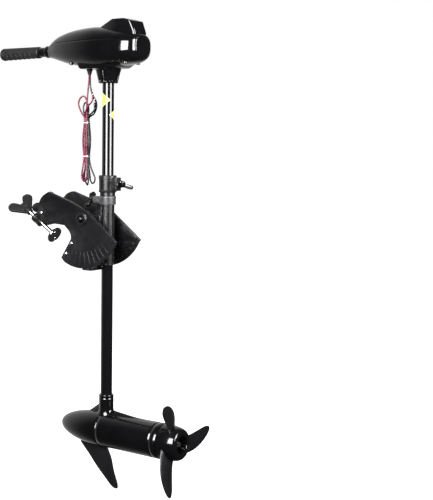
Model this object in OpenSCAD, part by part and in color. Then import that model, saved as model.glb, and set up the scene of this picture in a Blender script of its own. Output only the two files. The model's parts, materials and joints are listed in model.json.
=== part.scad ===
// Transom-mount electric outboard: a submerged motor pod on a long tube, with a steering head on top.
// The frame: +Z runs up the tube, -X points into the boat (tiller side), +X points aft (propeller side).
// The origin is the middle of the bracket's bearing face, where the boat's transom seats.

/* [Leg] */
// Outer diameter of the long tube
tube_d = 28; // [26:0.5:29]
// Height of the tube's top end above the pod's axis
tube_top = 896; // [880:1:898]
// Outer diameter of the motor pod
pod_d = 82; // [80:0.5:84]
// Length of the nose, from its joint with the motor housing
nose_len = 133; // [120:1:140]
// Distance from the tube's axis to the rear face of the motor housing
housing_end = 155; // [150:1:158]

/* [Propeller] */
// Radius of the propeller's blade tips
prop_r = 120; // [110:1:124]
// Number of blades
blades = 3; // [2:1:3]
// Turn of the first blade's tip from +Y towards +Z, degrees
blade_start = 7; // [0:1:60]

/* [Head] */
// Height of the tiller's axis above the pod's axis
tiller_z = 918; // [916:1:920]
// Height of the joint between the lower case and the cover
split_z = 936; // [932:1:940]
// Wall thickness of the head's shells
head_wall = 3; // [2.5:0.25:4]

/* [Bracket] */
// Height of the tilt pivot above the pod's axis
pivot_h = 507; // [500:1:510]
// Distance of the tilt pivot ahead of the tube's axis
pivot_fwd = 43; // [42:0.5:46]
// Turn of the bracket about the pivot as stored, degrees
stored_tilt = 33; // [33:1:33]
// Distance from the middle plane to each cheek's inner face
cheek_in = 41; // [41:0.5:43]
// Thickness of each cheek
cheek_t = 6; // [5:0.5:7]
// Radius of the cheeks' toothed rim about the pivot
fan_r = 110; // [106:1:111]
// Radius of the smooth skirt outside the toothed part
skirt_r = 119; // [114:1:120]

/* [Hidden] */

$fn = 64;
tube_r = tube_d / 2;
pod_r = pod_d / 2;
pod_wall = 3;
run = 0.05;                 // running clearance on a radius
seam_x = -2;                // joint between the nose and the motor housing

// bearing face in the bracket's own frame, whose origin is the pivot
bearing_z = -82;
pivot_x = -bearing_z * sin(stored_tilt);
pivot_z = -bearing_z * cos(stored_tilt);
leg_x = pivot_x + pivot_fwd;
leg_z = pivot_z - pivot_h;

clamp_y = cheek_in + cheek_t / 2;
clamp_z = -83.5;
boss_x = [-127, -99];
screw_r = 5;
pad_face_x = -47;
pad_r = 20.5;
handle_x = [-160, -144];
handle_turn = [36, 50];     // of the port and starboard handles about their screws
side_in = cheek_in - 0.1;

lock_x = -24;
lock_rest_r = 118;
lock_travel = 7.5;
lock_bar_r = 4;
lock_dx = lock_x + pivot_fwd;
lock_z = pivot_h - sqrt(lock_rest_r * lock_rest_r - lock_dx * lock_dx);
lock_seat_dz = lock_z + lock_travel - pivot_h;
notch_r = norm([lock_dx, lock_seat_dz]);
notch_a0 = atan2(lock_seat_dz, lock_dx);
notch_step = 8.25;
lever_z = lock_z - 7;
post_x = -32;               // guide posts of the release lever, with a spring on each
foot_z = 405;

sleeve_r = 17;
sleeve_z = [397, 542];
band_z = [542, 561.5];
bush_len = 22;
bush_r = 15.6;
tension_z = 552;
collar_z = [561.8, 612];
depth_z = 590;

hub_x = [172.6, 221];
recess_r = 20.5;
shaft_r = 5;
bolt_at = 34.4;             // through bolts run in the gaps between the magnets
commutator_x = 12.2;
head_mouth_z = 868;
lead_x = -58;
lead_r = 2;

// ---------- placing ----------

// Frame of everything on the leg: tube axis at X = 0, pod axis at Z = 0
module on_leg() { translate([leg_x, 0, leg_z]) children(); }
// Frame of the bracket: the pivot at the origin, the bearing face in the plane X = 0
module on_bracket() { translate([pivot_x, 0, pivot_z]) rotate([0, stored_tilt, 0]) children(); }
// Turns a shape drawn along +Z to lie along +X, from x0 on
module along_x(x0 = 0) { translate([x0, 0, 0]) rotate([0, 90, 0]) children(); }
module across_y() { rotate([-90, 0, 0]) children(); }
// An outline drawn in X and Z, made t thick, with its lowest Y at y0
module plate(y0, t) { translate([0, y0 + t, 0]) rotate([90, 0, 0]) linear_extrude(t) children(); }
module both_sides() { for (side = [-1, 1]) scale([1, side, 1]) children(); }
module ring(r_out, r_in, h) {
    rotate_extrude() translate([r_in, 0]) square([r_out - r_in, h]);
}

function arc(cx, cz, r, a0, a1, n) =
    [for (i = [0:n]) let (a = a0 + (a1 - a0) * i / n) [cx + r * cos(a), cz + r * sin(a)]];

// Joins closed rings of equal count into one solid with flat ends
module loft(rings) {
    n = len(rings[0]);
    m = len(rings);
    points = [for (r = rings) each r];
    walls = [for (j = [0:m - 2], i = [0:n - 1])
        [j * n + i, (j + 1) * n + i, (j + 1) * n + (i + 1) % n, j * n + (i + 1) % n]];
    ends = [[for (i = [0:n - 1]) i], [for (i = [n - 1:-1:0]) (m - 1) * n + i]];
    triangles = [for (w = walls) each [[w[0], w[1], w[2]], [w[0], w[2], w[3]]]];
    polyhedron(points, concat(triangles, ends));
}

// ---------- bracket ----------

function cheek_outline(r) = concat(
    arc(0, 0, r, 8.5, -84, 30),
    [[0, 4 - r], [0, -60], [-5, -52], [-16, -47], [-35, -44], [-64, -60]],
    arc(-92, -37, 42, -75, -235, 18),
    [[-49, 16], [5, 25]]
);
rim_outline = [
    [-49, 16], [5, 25], [117.5, 17.2], [117.5, 10], [5, 17.5], [-46, 9], [-113, -11], [-116, -2.6]
];
skirt_in = 3.4;
transom_screws = [[7, -68], [7, -98]];
bridge_at = [-113, -62];

module cheek() {
    difference() {
        union() {
            plate(cheek_in, cheek_t) polygon(cheek_outline(fan_r));
            plate(cheek_in + skirt_in, cheek_t - skirt_in) polygon(cheek_outline(skirt_r));
            plate(cheek_in, cheek_t + 3) polygon(rim_outline);
            translate([0, cheek_in, 0]) across_y() cylinder(r = 14, h = cheek_t + 3);
            translate([0, clamp_y, clamp_z]) along_x(boss_x[0])
                cylinder(r = 11.5, h = boss_x[1] - boss_x[0]);
        }
        translate([0, cheek_in - 1, 0]) across_y() cylinder(r = 5.2, h = 20);
        translate([0, clamp_y, clamp_z]) along_x(boss_x[0] - 1) cylinder(r = 8, h = 60);
        for (k = [0:10]) {
            a = notch_a0 + notch_step * k + stored_tilt - 4 * notch_step;
            translate([notch_r * cos(a), cheek_in - 1, notch_r * sin(a)]) across_y()
                cylinder(r = 4.8, h = 1 + skirt_in);
        }
        for (p = concat(transom_screws, [bridge_at]))
            translate([p[0], cheek_in - 1, p[1]]) across_y() cylinder(r = 2.6, h = 20);
    }
}
module port_cheek() { color("#1b1b1d") on_bracket() mirror([0, 1, 0]) cheek(); }
module starboard_cheek() { color("#1b1b1d") on_bracket() cheek(); }

module transom_plate() {
    color("#202022") on_bracket() difference() {
        union() {
            translate([0, -side_in, -107]) cube([5, 2 * side_in, 49]);
            both_sides() for (p = transom_screws)
                translate([p[0], side_in - 16, p[1]]) across_y() cylinder(r = 6, h = 16);
        }
        both_sides() for (p = transom_screws)
            translate([p[0], side_in - 12, p[1]]) across_y() cylinder(r = 2, h = 13);
    }
}

module front_bridge() {
    color("#202022") on_bracket() difference() {
        translate([bridge_at[0] - 6, -side_in, bridge_at[1] - 8]) cube([12, 2 * side_in, 16]);
        both_sides() translate([bridge_at[0], side_in - 12, bridge_at[1]]) across_y()
            cylinder(r = 2, h = 13);
    }
}

module bracket_screws() {
    out = cheek_in + cheek_t;
    color("silver") on_bracket() both_sides() for (p = concat(transom_screws, [bridge_at]))
        translate([p[0], side_in - 12, p[1]]) across_y() {
            cylinder(r = 2, h = out - side_in + 12.5);
            translate([0, 0, out - side_in + 12]) cylinder(r = 4.2, h = 2.6);
        }
}

module clamp_bushes() {
    color("#b08d57") on_bracket() both_sides() translate([0, clamp_y, clamp_z])
        along_x(boss_x[0]) ring(8, screw_r + run, boss_x[1] - boss_x[0]);
}

module pivot_bolt() {
    out = cheek_in + cheek_t + 3;
    color("silver") on_bracket() translate([0, -out, 0]) across_y() {
        cylinder(r = 5, h = 2 * out + 12);
        translate([0, 0, -6]) cylinder(r = 8.2, h = 6, $fn = 6);
    }
}
module pivot_nut() {
    out = cheek_in + cheek_t + 3;
    color("silver") on_bracket() translate([0, out, 0]) across_y() difference() {
        cylinder(r = 8.6, h = 8, $fn = 6);
        translate([0, 0, -1]) cylinder(r = 5, h = 12);
    }
}

// ---------- transom clamps ----------

module on_clamp(side) { on_bracket() translate([0, side * clamp_y, clamp_z]) children(); }

module clamp_pad() {
    difference() {
        union() {
            along_x(pad_face_x - 5) cylinder(r = pad_r, h = 5);
            along_x(pad_face_x - 10) cylinder(r1 = 9, r2 = 17, h = 5);
            along_x(pad_face_x - 14) cylinder(r = 9, h = 4.5);
        }
        along_x(pad_face_x - 15) cylinder(r = screw_r + run, h = 9);
    }
}
module clamp_screw() {
    along_x(handle_x[0] + 4) cylinder(r = screw_r, h = pad_face_x - 7 - handle_x[0] - 4);
}
module clamp_handle(turn) {
    difference() {
        union() {
            along_x(handle_x[0]) cylinder(r = 8.5, h = handle_x[1] - handle_x[0]);
            rotate([turn, 0, 0]) {
                for (tip = [-1, 1]) hull() {
                    translate([-155, 0, -3.5]) cylinder(r = 9, h = 7, $fn = 32);
                    translate([-185, tip * 22, -3.5]) cylinder(r = 13, h = 7, $fn = 32);
                }
                translate([-167, 0, -3.5]) cylinder(r = 12, h = 7, $fn = 32);
            }
        }
        along_x(handle_x[0] + 4) cylinder(r = screw_r, h = 40);
    }
}
module port_pad() { color("#c9cacc") on_clamp(-1) clamp_pad(); }
module port_screw() { color("#c9cacc") on_clamp(-1) clamp_screw(); }
module port_handle() { color("#1d1d1f") on_clamp(-1) clamp_handle(handle_turn[0]); }
module starboard_pad() { color("#c9cacc") on_clamp(1) clamp_pad(); }
module starboard_screw() { color("#c9cacc") on_clamp(1) clamp_screw(); }
module starboard_handle() { color("#1d1d1f") on_clamp(1) clamp_handle(handle_turn[1]); }

// ---------- swivel ----------

module swivel_sleeve() {
    color("#222224") on_leg() difference() {
        union() {
            translate([0, 0, sleeve_z[0]]) cylinder(r = sleeve_r, h = sleeve_z[1] - sleeve_z[0]);
            translate([0, 0, band_z[0]]) cylinder(r = 20.5, h = band_z[1] - band_z[0]);
            translate([-40, 0, tension_z]) rotate([0, 90, 0]) cylinder(r = 9.4, h = 24);
            translate([-pivot_fwd, -side_in + 0.3, pivot_h]) across_y()
                cylinder(r = 10, h = 2 * side_in - 0.6);
            translate([-pivot_fwd, -7, pivot_h - 42]) cube([30, 14, 60]);
            for (y = [-24, 18]) translate([-pivot_fwd + 2, y, pivot_h - 9]) cube([32, 6, 18]);
            translate([-pivot_fwd + 30, -24, pivot_h - 9]) cube([8, 48, 18]);
            translate([-37, -20, foot_z]) cube([23, 40, 16]);
            translate([-34, -7, foot_z]) cube([20, 14, 80]);
        }
        translate([0, 0, sleeve_z[0] - 1]) cylinder(r = tube_r + 0.6, h = 200);
        translate([0, 0, sleeve_z[0] - 1]) cylinder(r = bush_r, h = bush_len + 1);
        translate([0, 0, band_z[1] - bush_len]) cylinder(r = bush_r, h = bush_len + 1);
        translate([-pivot_fwd, -60, pivot_h]) across_y() cylinder(r = 5 + run, h = 120);
        translate([-41, 0, tension_z]) rotate([0, 90, 0]) cylinder(r = 4 + run, h = 40);
        for (y = [-14, 14]) translate([post_x, y, foot_z - 1]) cylinder(r = 2.5 + run, h = 20);
    }
}
module bush(z0) {
    color("#e8e4da") on_leg() translate([0, 0, z0]) difference() {
        cylinder(r = bush_r, h = bush_len);
        translate([0, 0, -1]) cylinder(r = tube_r + run, h = bush_len + 2);
        if (z0 > sleeve_z[0]) translate([0, 0, tension_z - z0]) rotate([0, -90, 0])
            cylinder(r = 4.2, h = 30);
    }
}
module upper_bush() { bush(band_z[1] - bush_len); }
module lower_bush() { bush(sleeve_z[0]); }

module wing(x0, dir, r_tip) {
    translate([x0, 0, 0]) scale([dir, 1, 1]) {
        rotate([0, 90, 0]) cylinder(r = 6.5, h = 8);
        for (tip = [-1, 1]) hull() {
            translate([6, -2.5, 0]) rotate([-90, 0, 0]) cylinder(r = 5.5, h = 5, $fn = 32);
            translate([12, -3.5, tip * (r_tip - 8.5)]) rotate([-90, 0, 0])
                cylinder(r = 8.5, h = 7, $fn = 32);
        }
    }
}
module tension_plug() {
    color("#e8e4da") on_leg() translate([-tube_r - 0.4, 0, tension_z]) rotate([0, -90, 0])
        cylinder(r = 4, h = 5);
}
module tension_screw() {
    color("#1d1d1f") on_leg() translate([0, 0, tension_z]) rotate([-45, 0, 0]) {
        translate([-tube_r - 5.4, 0, 0]) rotate([0, -90, 0]) cylinder(r = 4, h = 28);
        wing(-43, -1, 24);
    }
}

module lock_bar() {
    color("#9a9b9d") on_leg() translate([lock_x, -44.1, lock_z]) across_y()
        cylinder(r = lock_bar_r, h = 88.2);
}
module release_lever() {
    color("#1d1d1f") on_leg() difference() {
        union() {
            translate([-44, -40.6, lever_z]) cube([26.5, 81.2, 6]);
            translate([-48, -20, lever_z]) cube([6, 40, 10]);
            for (y = [-14, 14]) translate([post_x, y, lever_z + 5]) cylinder(r = 2.5, h = 34);
        }
        translate([lock_x, -60, lock_z]) across_y() cylinder(r = lock_bar_r, h = 120);
        translate([lock_x + 3.9, -60, lock_z - 4]) cube([9, 120, 9]);
    }
}
spring_turns = 4;
module coil(r, wire, h) {
    steps = spring_turns * 12;
    loft([for (i = [0:steps]) let (a = 30 * i, z = wire + (h - 2 * wire) * i / steps)
        [for (k = [0:5]) let (q = -60 * k, s = r + wire * cos(q))
            [s * cos(a), s * sin(a), z + wire * sin(q)]]]);
}
module lock_springs() {
    bottom = lever_z + 6;
    color("#b9babc") on_leg() for (y = [-14, 14])
        translate([post_x, y, bottom + 0.1]) coil(3.2, 0.5, foot_z - bottom - 0.2);
}

// ---------- depth collar ----------

module depth_collar() {
    color("#1f1f21") on_leg() difference() {
        union() {
            translate([0, 0, collar_z[0]]) cylinder(r = 18.5, h = 10);
            translate([0, 0, collar_z[0] + 9]) cylinder(r = 21.5, h = collar_z[1] - collar_z[0] - 9);
            translate([12, 0, depth_z]) rotate([0, 90, 0]) cylinder(r = 10, h = 26);
            translate([10, -8, depth_z - 14]) cube([22, 16, 28]);
        }
        translate([0, 0, collar_z[0] - 1]) cylinder(r = tube_r + run, h = 60);
        translate([10, 0, depth_z]) rotate([0, 90, 0]) cylinder(r = 4 + run, h = 40);
    }
}
module depth_plug() {
    color("#e8e4da") on_leg() translate([tube_r + 0.4, 0, depth_z]) rotate([0, 90, 0])
        cylinder(r = 4, h = 5);
}
module depth_screw() {
    color("#1d1d1f") on_leg() translate([0, 0, depth_z]) rotate([70, 0, 0]) {
        translate([tube_r + 5.4, 0, 0]) rotate([0, 90, 0]) cylinder(r = 4, h = 26);
        wing(42, 1, 26);
    }
}

// ---------- leg and pod ----------

module shaft_tube() {
    color("#161618") on_leg() translate([0, 0, 38]) ring(tube_r, tube_r - 2, tube_top - 38);
}

nose_round = 124;           // length over which the nose curves in
module nose_solid(r, reach) {
    steps = 20;
    straight = nose_len - nose_round;
    profile = concat([[0, 0], [r, 0]],
        [for (i = [0:steps]) let (a = 90 * i / steps)
            [r * cos(a), straight + (reach - straight) * sin(a)]]);
    translate([seam_x, 0, 0]) rotate([0, -90, 0]) rotate_extrude($fn = 96) polygon(profile);
}
// A thin leaf section, chord c and thickness t, at chord position x0 and height z
function leaf(x0, c, t, z) = concat(
    [for (i = [0:8]) let (u = i / 8) [x0 + c * u, t / 2 * pow(sin(180 * u), 0.7), z]],
    [for (i = [7:-1:1]) let (u = i / 8) [x0 + c * u, -t / 2 * pow(sin(180 * u), 0.7), z]]);
module skeg() {
    loft([leaf(-78, 74, 7, -34), leaf(-78, 75, 7, -41.3), leaf(-77, 84, 7, -44), leaf(-52, 70, 6.2, -68),
          leaf(-26, 51, 5.4, -95), leaf(0, 34, 4.4, -118), leaf(11, 25.5, 3.8, -128),
          leaf(18, 18, 3.2, -133), leaf(25, 9, 2.4, -136)]);
}
module leg_socket(grow) {
    translate([0, 0, 20]) cylinder(r = 17.75 + grow, h = 65);
    // gusset ahead of the collar
    plate(-4 - grow, 8 + 2 * grow)
        polygon([[0, 64 + grow], [-17, 64 + grow], [-46 - grow, 40], [-46 - grow, 34], [0, 34]]);
}
module nose_cone() {
    color("#19191b") on_leg() difference() {
        union() {
            nose_solid(pod_r, nose_len);
            skeg();
        }
        nose_solid(pod_r - pod_wall, nose_len - pod_wall);
        leg_socket(0.2);
        translate([seam_x, -60, -pod_r - 0.01]) cube([100, 120, 100]);
    }
}
module spine() {
    hull() {
        translate([8, 0, 34]) cylinder(r1 = 15, r2 = 11, h = 14, $fn = 32);
        translate([118, 0, 36]) cylinder(r1 = 3, r2 = 1.5, h = 5.4, $fn = 32);
    }
}
module motor_housing() {
    color("#19191b") on_leg() difference() {
        union() {
            along_x(seam_x) cylinder(r = pod_r, h = housing_end - seam_x);
            leg_socket(0);
            spine();
        }
        along_x(-60) cylinder(r = pod_r - pod_wall, h = 300);
        translate([0, 0, 38]) cylinder(r = tube_r, h = 60);
        translate([0, 0, 10]) cylinder(r = 9, h = 60);
    }
}
module end_bell() {
    color("#19191b") on_leg() difference() {
        union() {
            along_x(housing_end) cylinder(r = pod_r, h = 17);
            along_x(housing_end - 8) cylinder(r = pod_r - pod_wall, h = 9);
        }
        along_x(housing_end - 9) cylinder(r = pod_r - 8, h = 15);
        along_x(housing_end - 9) cylinder(r = 7, h = 40);
        for (a = [0, 180]) rotate([a, 0, 0]) translate([0, 0, bolt_at]) {
            along_x(housing_end - 9) cylinder(r = 2, h = 40);
            along_x(housing_end + 13) cylinder(r = 4.4, h = 10);
        }
        along_x(housing_end + 6) cylinder(r = 11, h = 5);
        along_x(housing_end + 10.9) cylinder(r = 11, h = 8);
        along_x(housing_end - 4) difference() {
            cylinder(r = pod_r, h = 2);
            translate([0, 0, -1]) cylinder(r = pod_r - pod_wall - 1.5, h = 4);
        }
    }
}
module magnets() {
    color("#4a4a4e") on_leg() along_x(28) for (a = [15, 195])
        rotate([0, 0, a]) rotate_extrude(angle = 150) translate([32.5, 0]) square([5.3, 96]);
}
module brush_card() {
    color("#7b5a34") on_leg() difference() {
        union() {
            along_x(6) cylinder(r = 37.8, h = 3);
            along_x(4) cylinder(r = 13, h = 8);
            for (side = [-1, 1]) scale([1, 1, side]) translate([8, -6, 15]) cube([14, 12, 17]);
        }
        along_x(0) cylinder(r = 9, h = 20);
        along_x(13) cylinder(r = 15, h = 30);
        for (side = [-1, 1]) translate([12, -4.1, side * 24 - 12]) cube([8.2, 8.2, 24]);
        along_x(5) for (side = [-1, 1]) translate([side * bolt_at, 0, -1]) cylinder(r = 2, h = 8);
    }
}
module brushes() {
    color("#3a3a3c") on_leg() for (side = [-1, 1]) translate([12.1, -4, side * 22.2 - 9]) cube([8, 8, 18]);
}
module bearings() {
    color("#b5b6b8") on_leg() {
        along_x(4) ring(9, shaft_r + run, 8);
        along_x(housing_end + 6) ring(11, shaft_r + run, 4.8);
    }
}
module shaft_seal() {
    color("#101010") on_leg() along_x(housing_end + 11.2) ring(11, shaft_r + run, 5);
}
module end_seals() {
    color("#101010") on_leg() along_x(housing_end - 4) ring(pod_r - pod_wall, pod_r - pod_wall - 1.5, 2);
}
module through_bolts() {
    color("silver") on_leg() for (a = [0, 180]) rotate([a, 0, 0]) translate([0, 0, bolt_at]) {
        along_x(4) cylinder(r = 2, h = housing_end + 9.5);
        along_x(housing_end + 13) cylinder(r = 4, h = 3.4);
    }
}
module inner_cable() {
    color("#2a2a2c") on_leg() translate([0, 0, 43]) cylinder(r = 4, h = tube_top - 43);
}

// ---------- rotor and propeller ----------

module motor_shaft() {
    color("#c4c5c7") on_leg() difference() {
        along_x(1) cylinder(r = shaft_r, h = 213);
        translate([190, 0, -10]) cylinder(r = 2, h = 20);
    }
}
module armature() {
    color("#6b4a2c") on_leg() difference() {
        union() {
            along_x(38) cylinder(r = 30, h = 78);
            along_x(30) cylinder(r = 25, h = 94);
        }
        along_x(20) cylinder(r = shaft_r, h = 120);
        for (i = [0:11]) rotate([30 * i, 0, 0]) translate([37, -2, 24]) cube([80, 4, 8]);
    }
}
module commutator() {
    color("#b87333") on_leg() along_x(commutator_x) difference() {
        cylinder(r = 13, h = 17);
        translate([0, 0, -1]) cylinder(r = shaft_r, h = 20);
        for (i = [0:11]) rotate([0, 0, 30 * i]) translate([11.5, -0.4, -1]) cube([3, 0.8, 14]);
    }
}

// Each blade is a stack of leaf sections on rising radii: it twists, sweeps round and leans aft.
blade_root_r = 34;
function blade_chord(t) = 48 * sqrt(1 - pow(t, 3.2)) * (0.92 + 0.35 * t * (1 - t)) + 1.5;
function blade_pitch(t) = atan(12 / (blade_root_r + (prop_r - blade_root_r) * t));
function blade_turn(t) = -26 * pow(1 - t, 1.15);
function blade_aft(t) = 196 + 22 * t;
function blade_ring(t) =
    let (r = blade_root_r + (prop_r - blade_root_r) * t, b = blade_pitch(t), c = blade_chord(t),
         th = 5.5 * (1 - t) + 1.8, q = blade_turn(t))
    [for (k = [0:13]) let (
        u = k <= 7 ? k / 7 : (14 - k) / 7,
        s = k <= 7 ? -1 : 1,
        along = c * (u - 0.5),
        off = s * th / 2 * pow(sin(180 * u), 0.7),
        tang = along * cos(b) - off * sin(b),
        aft = along * sin(b) + off * cos(b))
        [blade_aft(t) + aft, r * cos(q) - tang * sin(q), r * sin(q) + tang * cos(q)]];
module blade() { loft([for (i = [0:11]) blade_ring(i < 10 ? i / 10 : (i == 10 ? 0.965 : 1))]); }

module propeller() {
    hub_profile = concat([[36, 0], [pod_r, 0], [pod_r, 6]],
        [for (i = [1:10]) let (a = 9 * i)
            [34 - 2.5 + (pod_r - 31.5) * cos(a), 6 + (hub_x[1] - hub_x[0] - 6) * sin(a)]],
        [[recess_r, hub_x[1] - hub_x[0]], [recess_r - 2, 24], [shaft_r + 0.1, 24],
         [shaft_r + 0.1, 2], [13, 2], [13, 15], [36, 15]]);
    color("#19191b") on_leg() difference() {
        union() {
            along_x(hub_x[0]) rotate_extrude($fn = 96) polygon(hub_profile);
            for (i = [0:blades - 1]) rotate([blade_start + 360 / blades * i, 0, 0]) difference() {
                blade();
                along_x(150) cylinder(r = 34.5, h = 100);
            }
        }
        translate([190, 0, -13]) cylinder(r = 2.1, h = 26);
    }
}
module drive_pin() {
    color("silver") on_leg() translate([190, 0, -12]) cylinder(r = 2, h = 24);
}
module prop_nut() {
    color("silver") on_leg() along_x(hub_x[0] + 24.1) difference() {
        union() {
            cylinder(r = 11, h = 2);
            cylinder(r = 8.6, h = 10, $fn = 6);
            cylinder(r = 6.6, h = 13);
        }
        translate([0, 0, -1]) cylinder(r = shaft_r, h = 16);
    }
}

// ---------- head ----------

// Stations along X: place, half width, bottom and top
head_stations = [
    [-180, 16, 902, 934], [-168, 21, 899, 943], [-148, 29, 893, 953], [-120, 37.5, 885, 961],
    [-92, 44, 879, 966], [-60, 49.5, 875, 969], [-25, 53, 872, 970], [15, 54, 872, 966],
    [45, 53.4, 873.5, 960.5], [62, 52.2, 875, 957], [74, 49.9, 877, 954], [84, 46.8, 879.5, 951.5],
    [92, 42.8, 883, 949], [98, 37.8, 887, 946.5], [102, 31, 892, 943]
];
function head_ring(s, inset, shift) =
    let (w = s[1] - inset, lo = s[2] + inset, hi = s[3] - inset, mid = (lo + hi) / 2, half = (hi - lo) / 2)
    [for (k = [0:31]) let (a = 360 * k / 32, c = cos(a), n = sin(a))
        [s[0] + shift, w * sign(c) * pow(abs(c), 0.78), mid + half * sign(n) * pow(abs(n), 0.78)]];
module head_solid(inset) {
    last = len(head_stations) - 1;
    loft([for (i = [0:last])
        head_ring(head_stations[i], inset, i == 0 ? inset : (i == last ? -inset : 0))]);
}
hump_circles = [
    [-6, 17, 5, 967.5, 1], [35, 22, 7, 984, 0], [60, 22, 7, 984, 0], [79, 21, 6, 978, -1], [91, 20, 5, 951, -1]
];
meter_at = [8.5, 0, 973];
meter_lean = -23;
module hump(inset) {
    hull() {
        for (s = hump_circles, side = [-1, 1])
            translate([s[0] + inset * s[4], side * (s[1] - inset), 940])
                cylinder(r = s[2], h = s[3] - 940 - inset, $fn = 24);
    }
}
module case_bosses() {
    for (x = [-95, 70], y = [-26, 26]) translate([x, y, 872]) cylinder(r = 4, h = split_z - 872);
}
module lower_case() {
    pan = [[-74, 884], [-66, 868], [40, 868], [62, 880], [60, 890], [-74, 890]];
    color("#1a1a1c") on_leg() difference() {
        union() {
            difference() {
                union() {
                    head_solid(0);
                    plate(-32, 64) polygon(pan);
                }
                head_solid(head_wall);
                translate([-300, -100, split_z]) cube([600, 200, 100]);
            }
            intersection() {
                head_solid(1);
                case_bosses();
            }
            translate([0, 0, 869]) ring(20, tube_r, 20);
        }
        translate([0, 0, 860]) cylinder(r = tube_r, h = 60);
        translate([0, 0, tiller_z]) along_x(-190) cylinder(r = 14, h = 45);
        translate([lead_x, 0, 860]) cylinder(r = 5, h = 40);
        for (x = [-95, 70], y = [-26, 26]) translate([x, y, 860]) cylinder(r = 1.6, h = 100);
        for (x = [-95, 70], y = [-26, 26]) translate([x, y, 860]) cylinder(r = 3.3, h = 27);
    }
}
module upper_cover() {
    color("#1a1a1c") on_leg() difference() {
        union() {
            difference() {
                head_solid(0);
                head_solid(head_wall);
            }
            difference() {
                hump(0);
                translate([-100, -60, 900]) cube([300, 120, 50]);
                head_solid(1);
            }
        }
        hump(head_wall);
        translate([-300, -100, 800]) cube([600, 200, split_z - 800]);
        translate([0, 0, tiller_z]) along_x(-190) cylinder(r = 14, h = 40);
        translate(meter_at) rotate([0, meter_lean, 0]) translate([0, 0, 5])
            cube([24, 30, 12], center = true);
    }
}
module meter_lens() {
    color("#30343a") on_leg() translate(meter_at) rotate([0, meter_lean, 0])
        cube([23.6, 29.6, 2], center = true);
}
module case_screws() {
    color("silver") on_leg() for (x = [-95, 70], y = [-26, 26]) translate([x, y, 884]) {
        cylinder(r = 3, h = 3);
        translate([0, 0, 3]) cylinder(r = 1.6, h = 30);
    }
}
module head_collar() {
    color("#1f1f21") on_leg() translate([0, 0, 833]) difference() {
        cylinder(r1 = 23, r2 = 31.5, h = head_mouth_z - 833);
        translate([0, 0, -1]) cylinder(r = tube_r, h = 60);
        for (i = [0:9]) rotate([0, 0, 36 * i]) translate([28, 0, -5]) rotate([0, 14, 0])
            cylinder(r = 4.5, h = 34);
    }
}
module switch_body() {
    color("#303033") on_leg() translate([0, 0, tiller_z]) difference() {
        union() {
            along_x(-56) cylinder(r = 20, h = 26);
            translate([-50, -26, -22]) cube([14, 52, 14]);
        }
        along_x(-60) cylinder(r = 10 + run, h = 50);
    }
}
module switch_rotor() {
    color("#b08d57") on_leg() translate([0, 0, tiller_z]) difference() {
        along_x(-57) cylinder(r = 10, h = 28);
        translate([-60, -4.15, -4.15]) cube([50, 8.3, 8.3]);
    }
}
module tiller_bush() {
    color("#131315") on_leg() translate([0, 0, tiller_z]) difference() {
        union() {
            along_x(-196) cylinder(r = 15, h = 15.8);
            along_x(-181) cylinder(r = 14, h = 31);
        }
        along_x(-200) cylinder(r = 12 + run, h = 60);
    }
}
module lead_gland() {
    color("#111113") on_leg() translate([lead_x, 0, 862]) difference() {
        union() {
            cylinder(r1 = 5.4, r2 = 7, h = 6);
            cylinder(r = 5, h = 16);
        }
        for (y = [-2.2, 2.2]) translate([0, y, 3]) cylinder(r = lead_r, h = 20);
    }
}

// ---------- tiller ----------

grip_x = [-348, -219];
module tiller_tube() {
    color("#1c1c1e") on_leg() translate([0, 0, tiller_z]) along_x(-300) ring(12, 9, 240);
}
module grip() {
    length = grip_x[1] - grip_x[0];
    profile = concat([[0, 0], [8, 0], [13, 2], [15.5, 7]],
        [for (i = [0:5]) each [[16, 14 + 15 * i], [16, 22 + 15 * i], [15, 25.5 + 15 * i]]],
        [[15.5, length - 20], [15.5, length - 6], [14.4, length], [0, length]]);
    color("#151517") on_leg() translate([0, 0, tiller_z]) difference() {
        along_x(grip_x[0]) rotate_extrude() polygon(profile);
        along_x(-301) cylinder(r = 12 + run, h = 100);
        translate([-340, -4, -4]) cube([60, 8, 8]);
    }
}
module drive_rod() {
    color("#a9aaac") on_leg() translate([-340, -4, tiller_z - 4]) cube([425, 8, 8]);
}

// ---------- power leads ----------

// Middle lines of the two leads from the gland down to the tied hank
red_route = [[-58, 862], [-58, 852], [-58.5, 840], [-60, 826], [-62, 810], [-63, 796]];
black_route = [[-58, 862], [-58, 852], [-58, 840], [-56.5, 826], [-53, 813], [-48, 803.5], [-44.5, 796]];
module lead(route, y) {
    loft([for (p = route) [for (k = [0:7]) let (a = -45 * k)
        [p[0] + lead_r * cos(a), y + lead_r * sin(a), p[1]]]]);
}
module red_lead() { color("#8f1d35") on_leg() lead(red_route, -2.2); }
module black_lead() { color("#171718") on_leg() lead(black_route, 2.2); }
hank_outline = [
    [-80, 594], [-75, 587], [-50, 587], [-43, 592], [-52, 640], [-54, 657], [-50, 690], [-50, 712],
    [-56, 738], [-46, 753], [-38, 761], [-33.5, 768], [-33.5, 776], [-42, 776], [-42, 796],
    [-78, 796], [-86, 788], [-88, 772],
    [-78, 738], [-81, 712], [-81, 690], [-77, 657]];
module lead_hank() { color("#6d1730") on_leg() plate(-8, 16) polygon(hank_outline); }
module lead_terminals() {
    color("#1a1a1b") on_leg() for (p = [[-42, -7, 796], [-36.5, -6, 776]]) translate(p) {
        cylinder(r = 2.6, h = 12);
        translate([0, 0, 18]) rotate([0, 0, 128]) rotate([90, 0, 0]) translate([0, 0, -0.6]) difference() {
            hull() {
                cylinder(r = 6, h = 1.2);
                translate([-1.8, -7.5, 0]) cube([3.6, 1, 1.2]);
            }
            translate([0, 0, -1]) cylinder(r = 3.2, h = 4);
        }
    }
}

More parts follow.
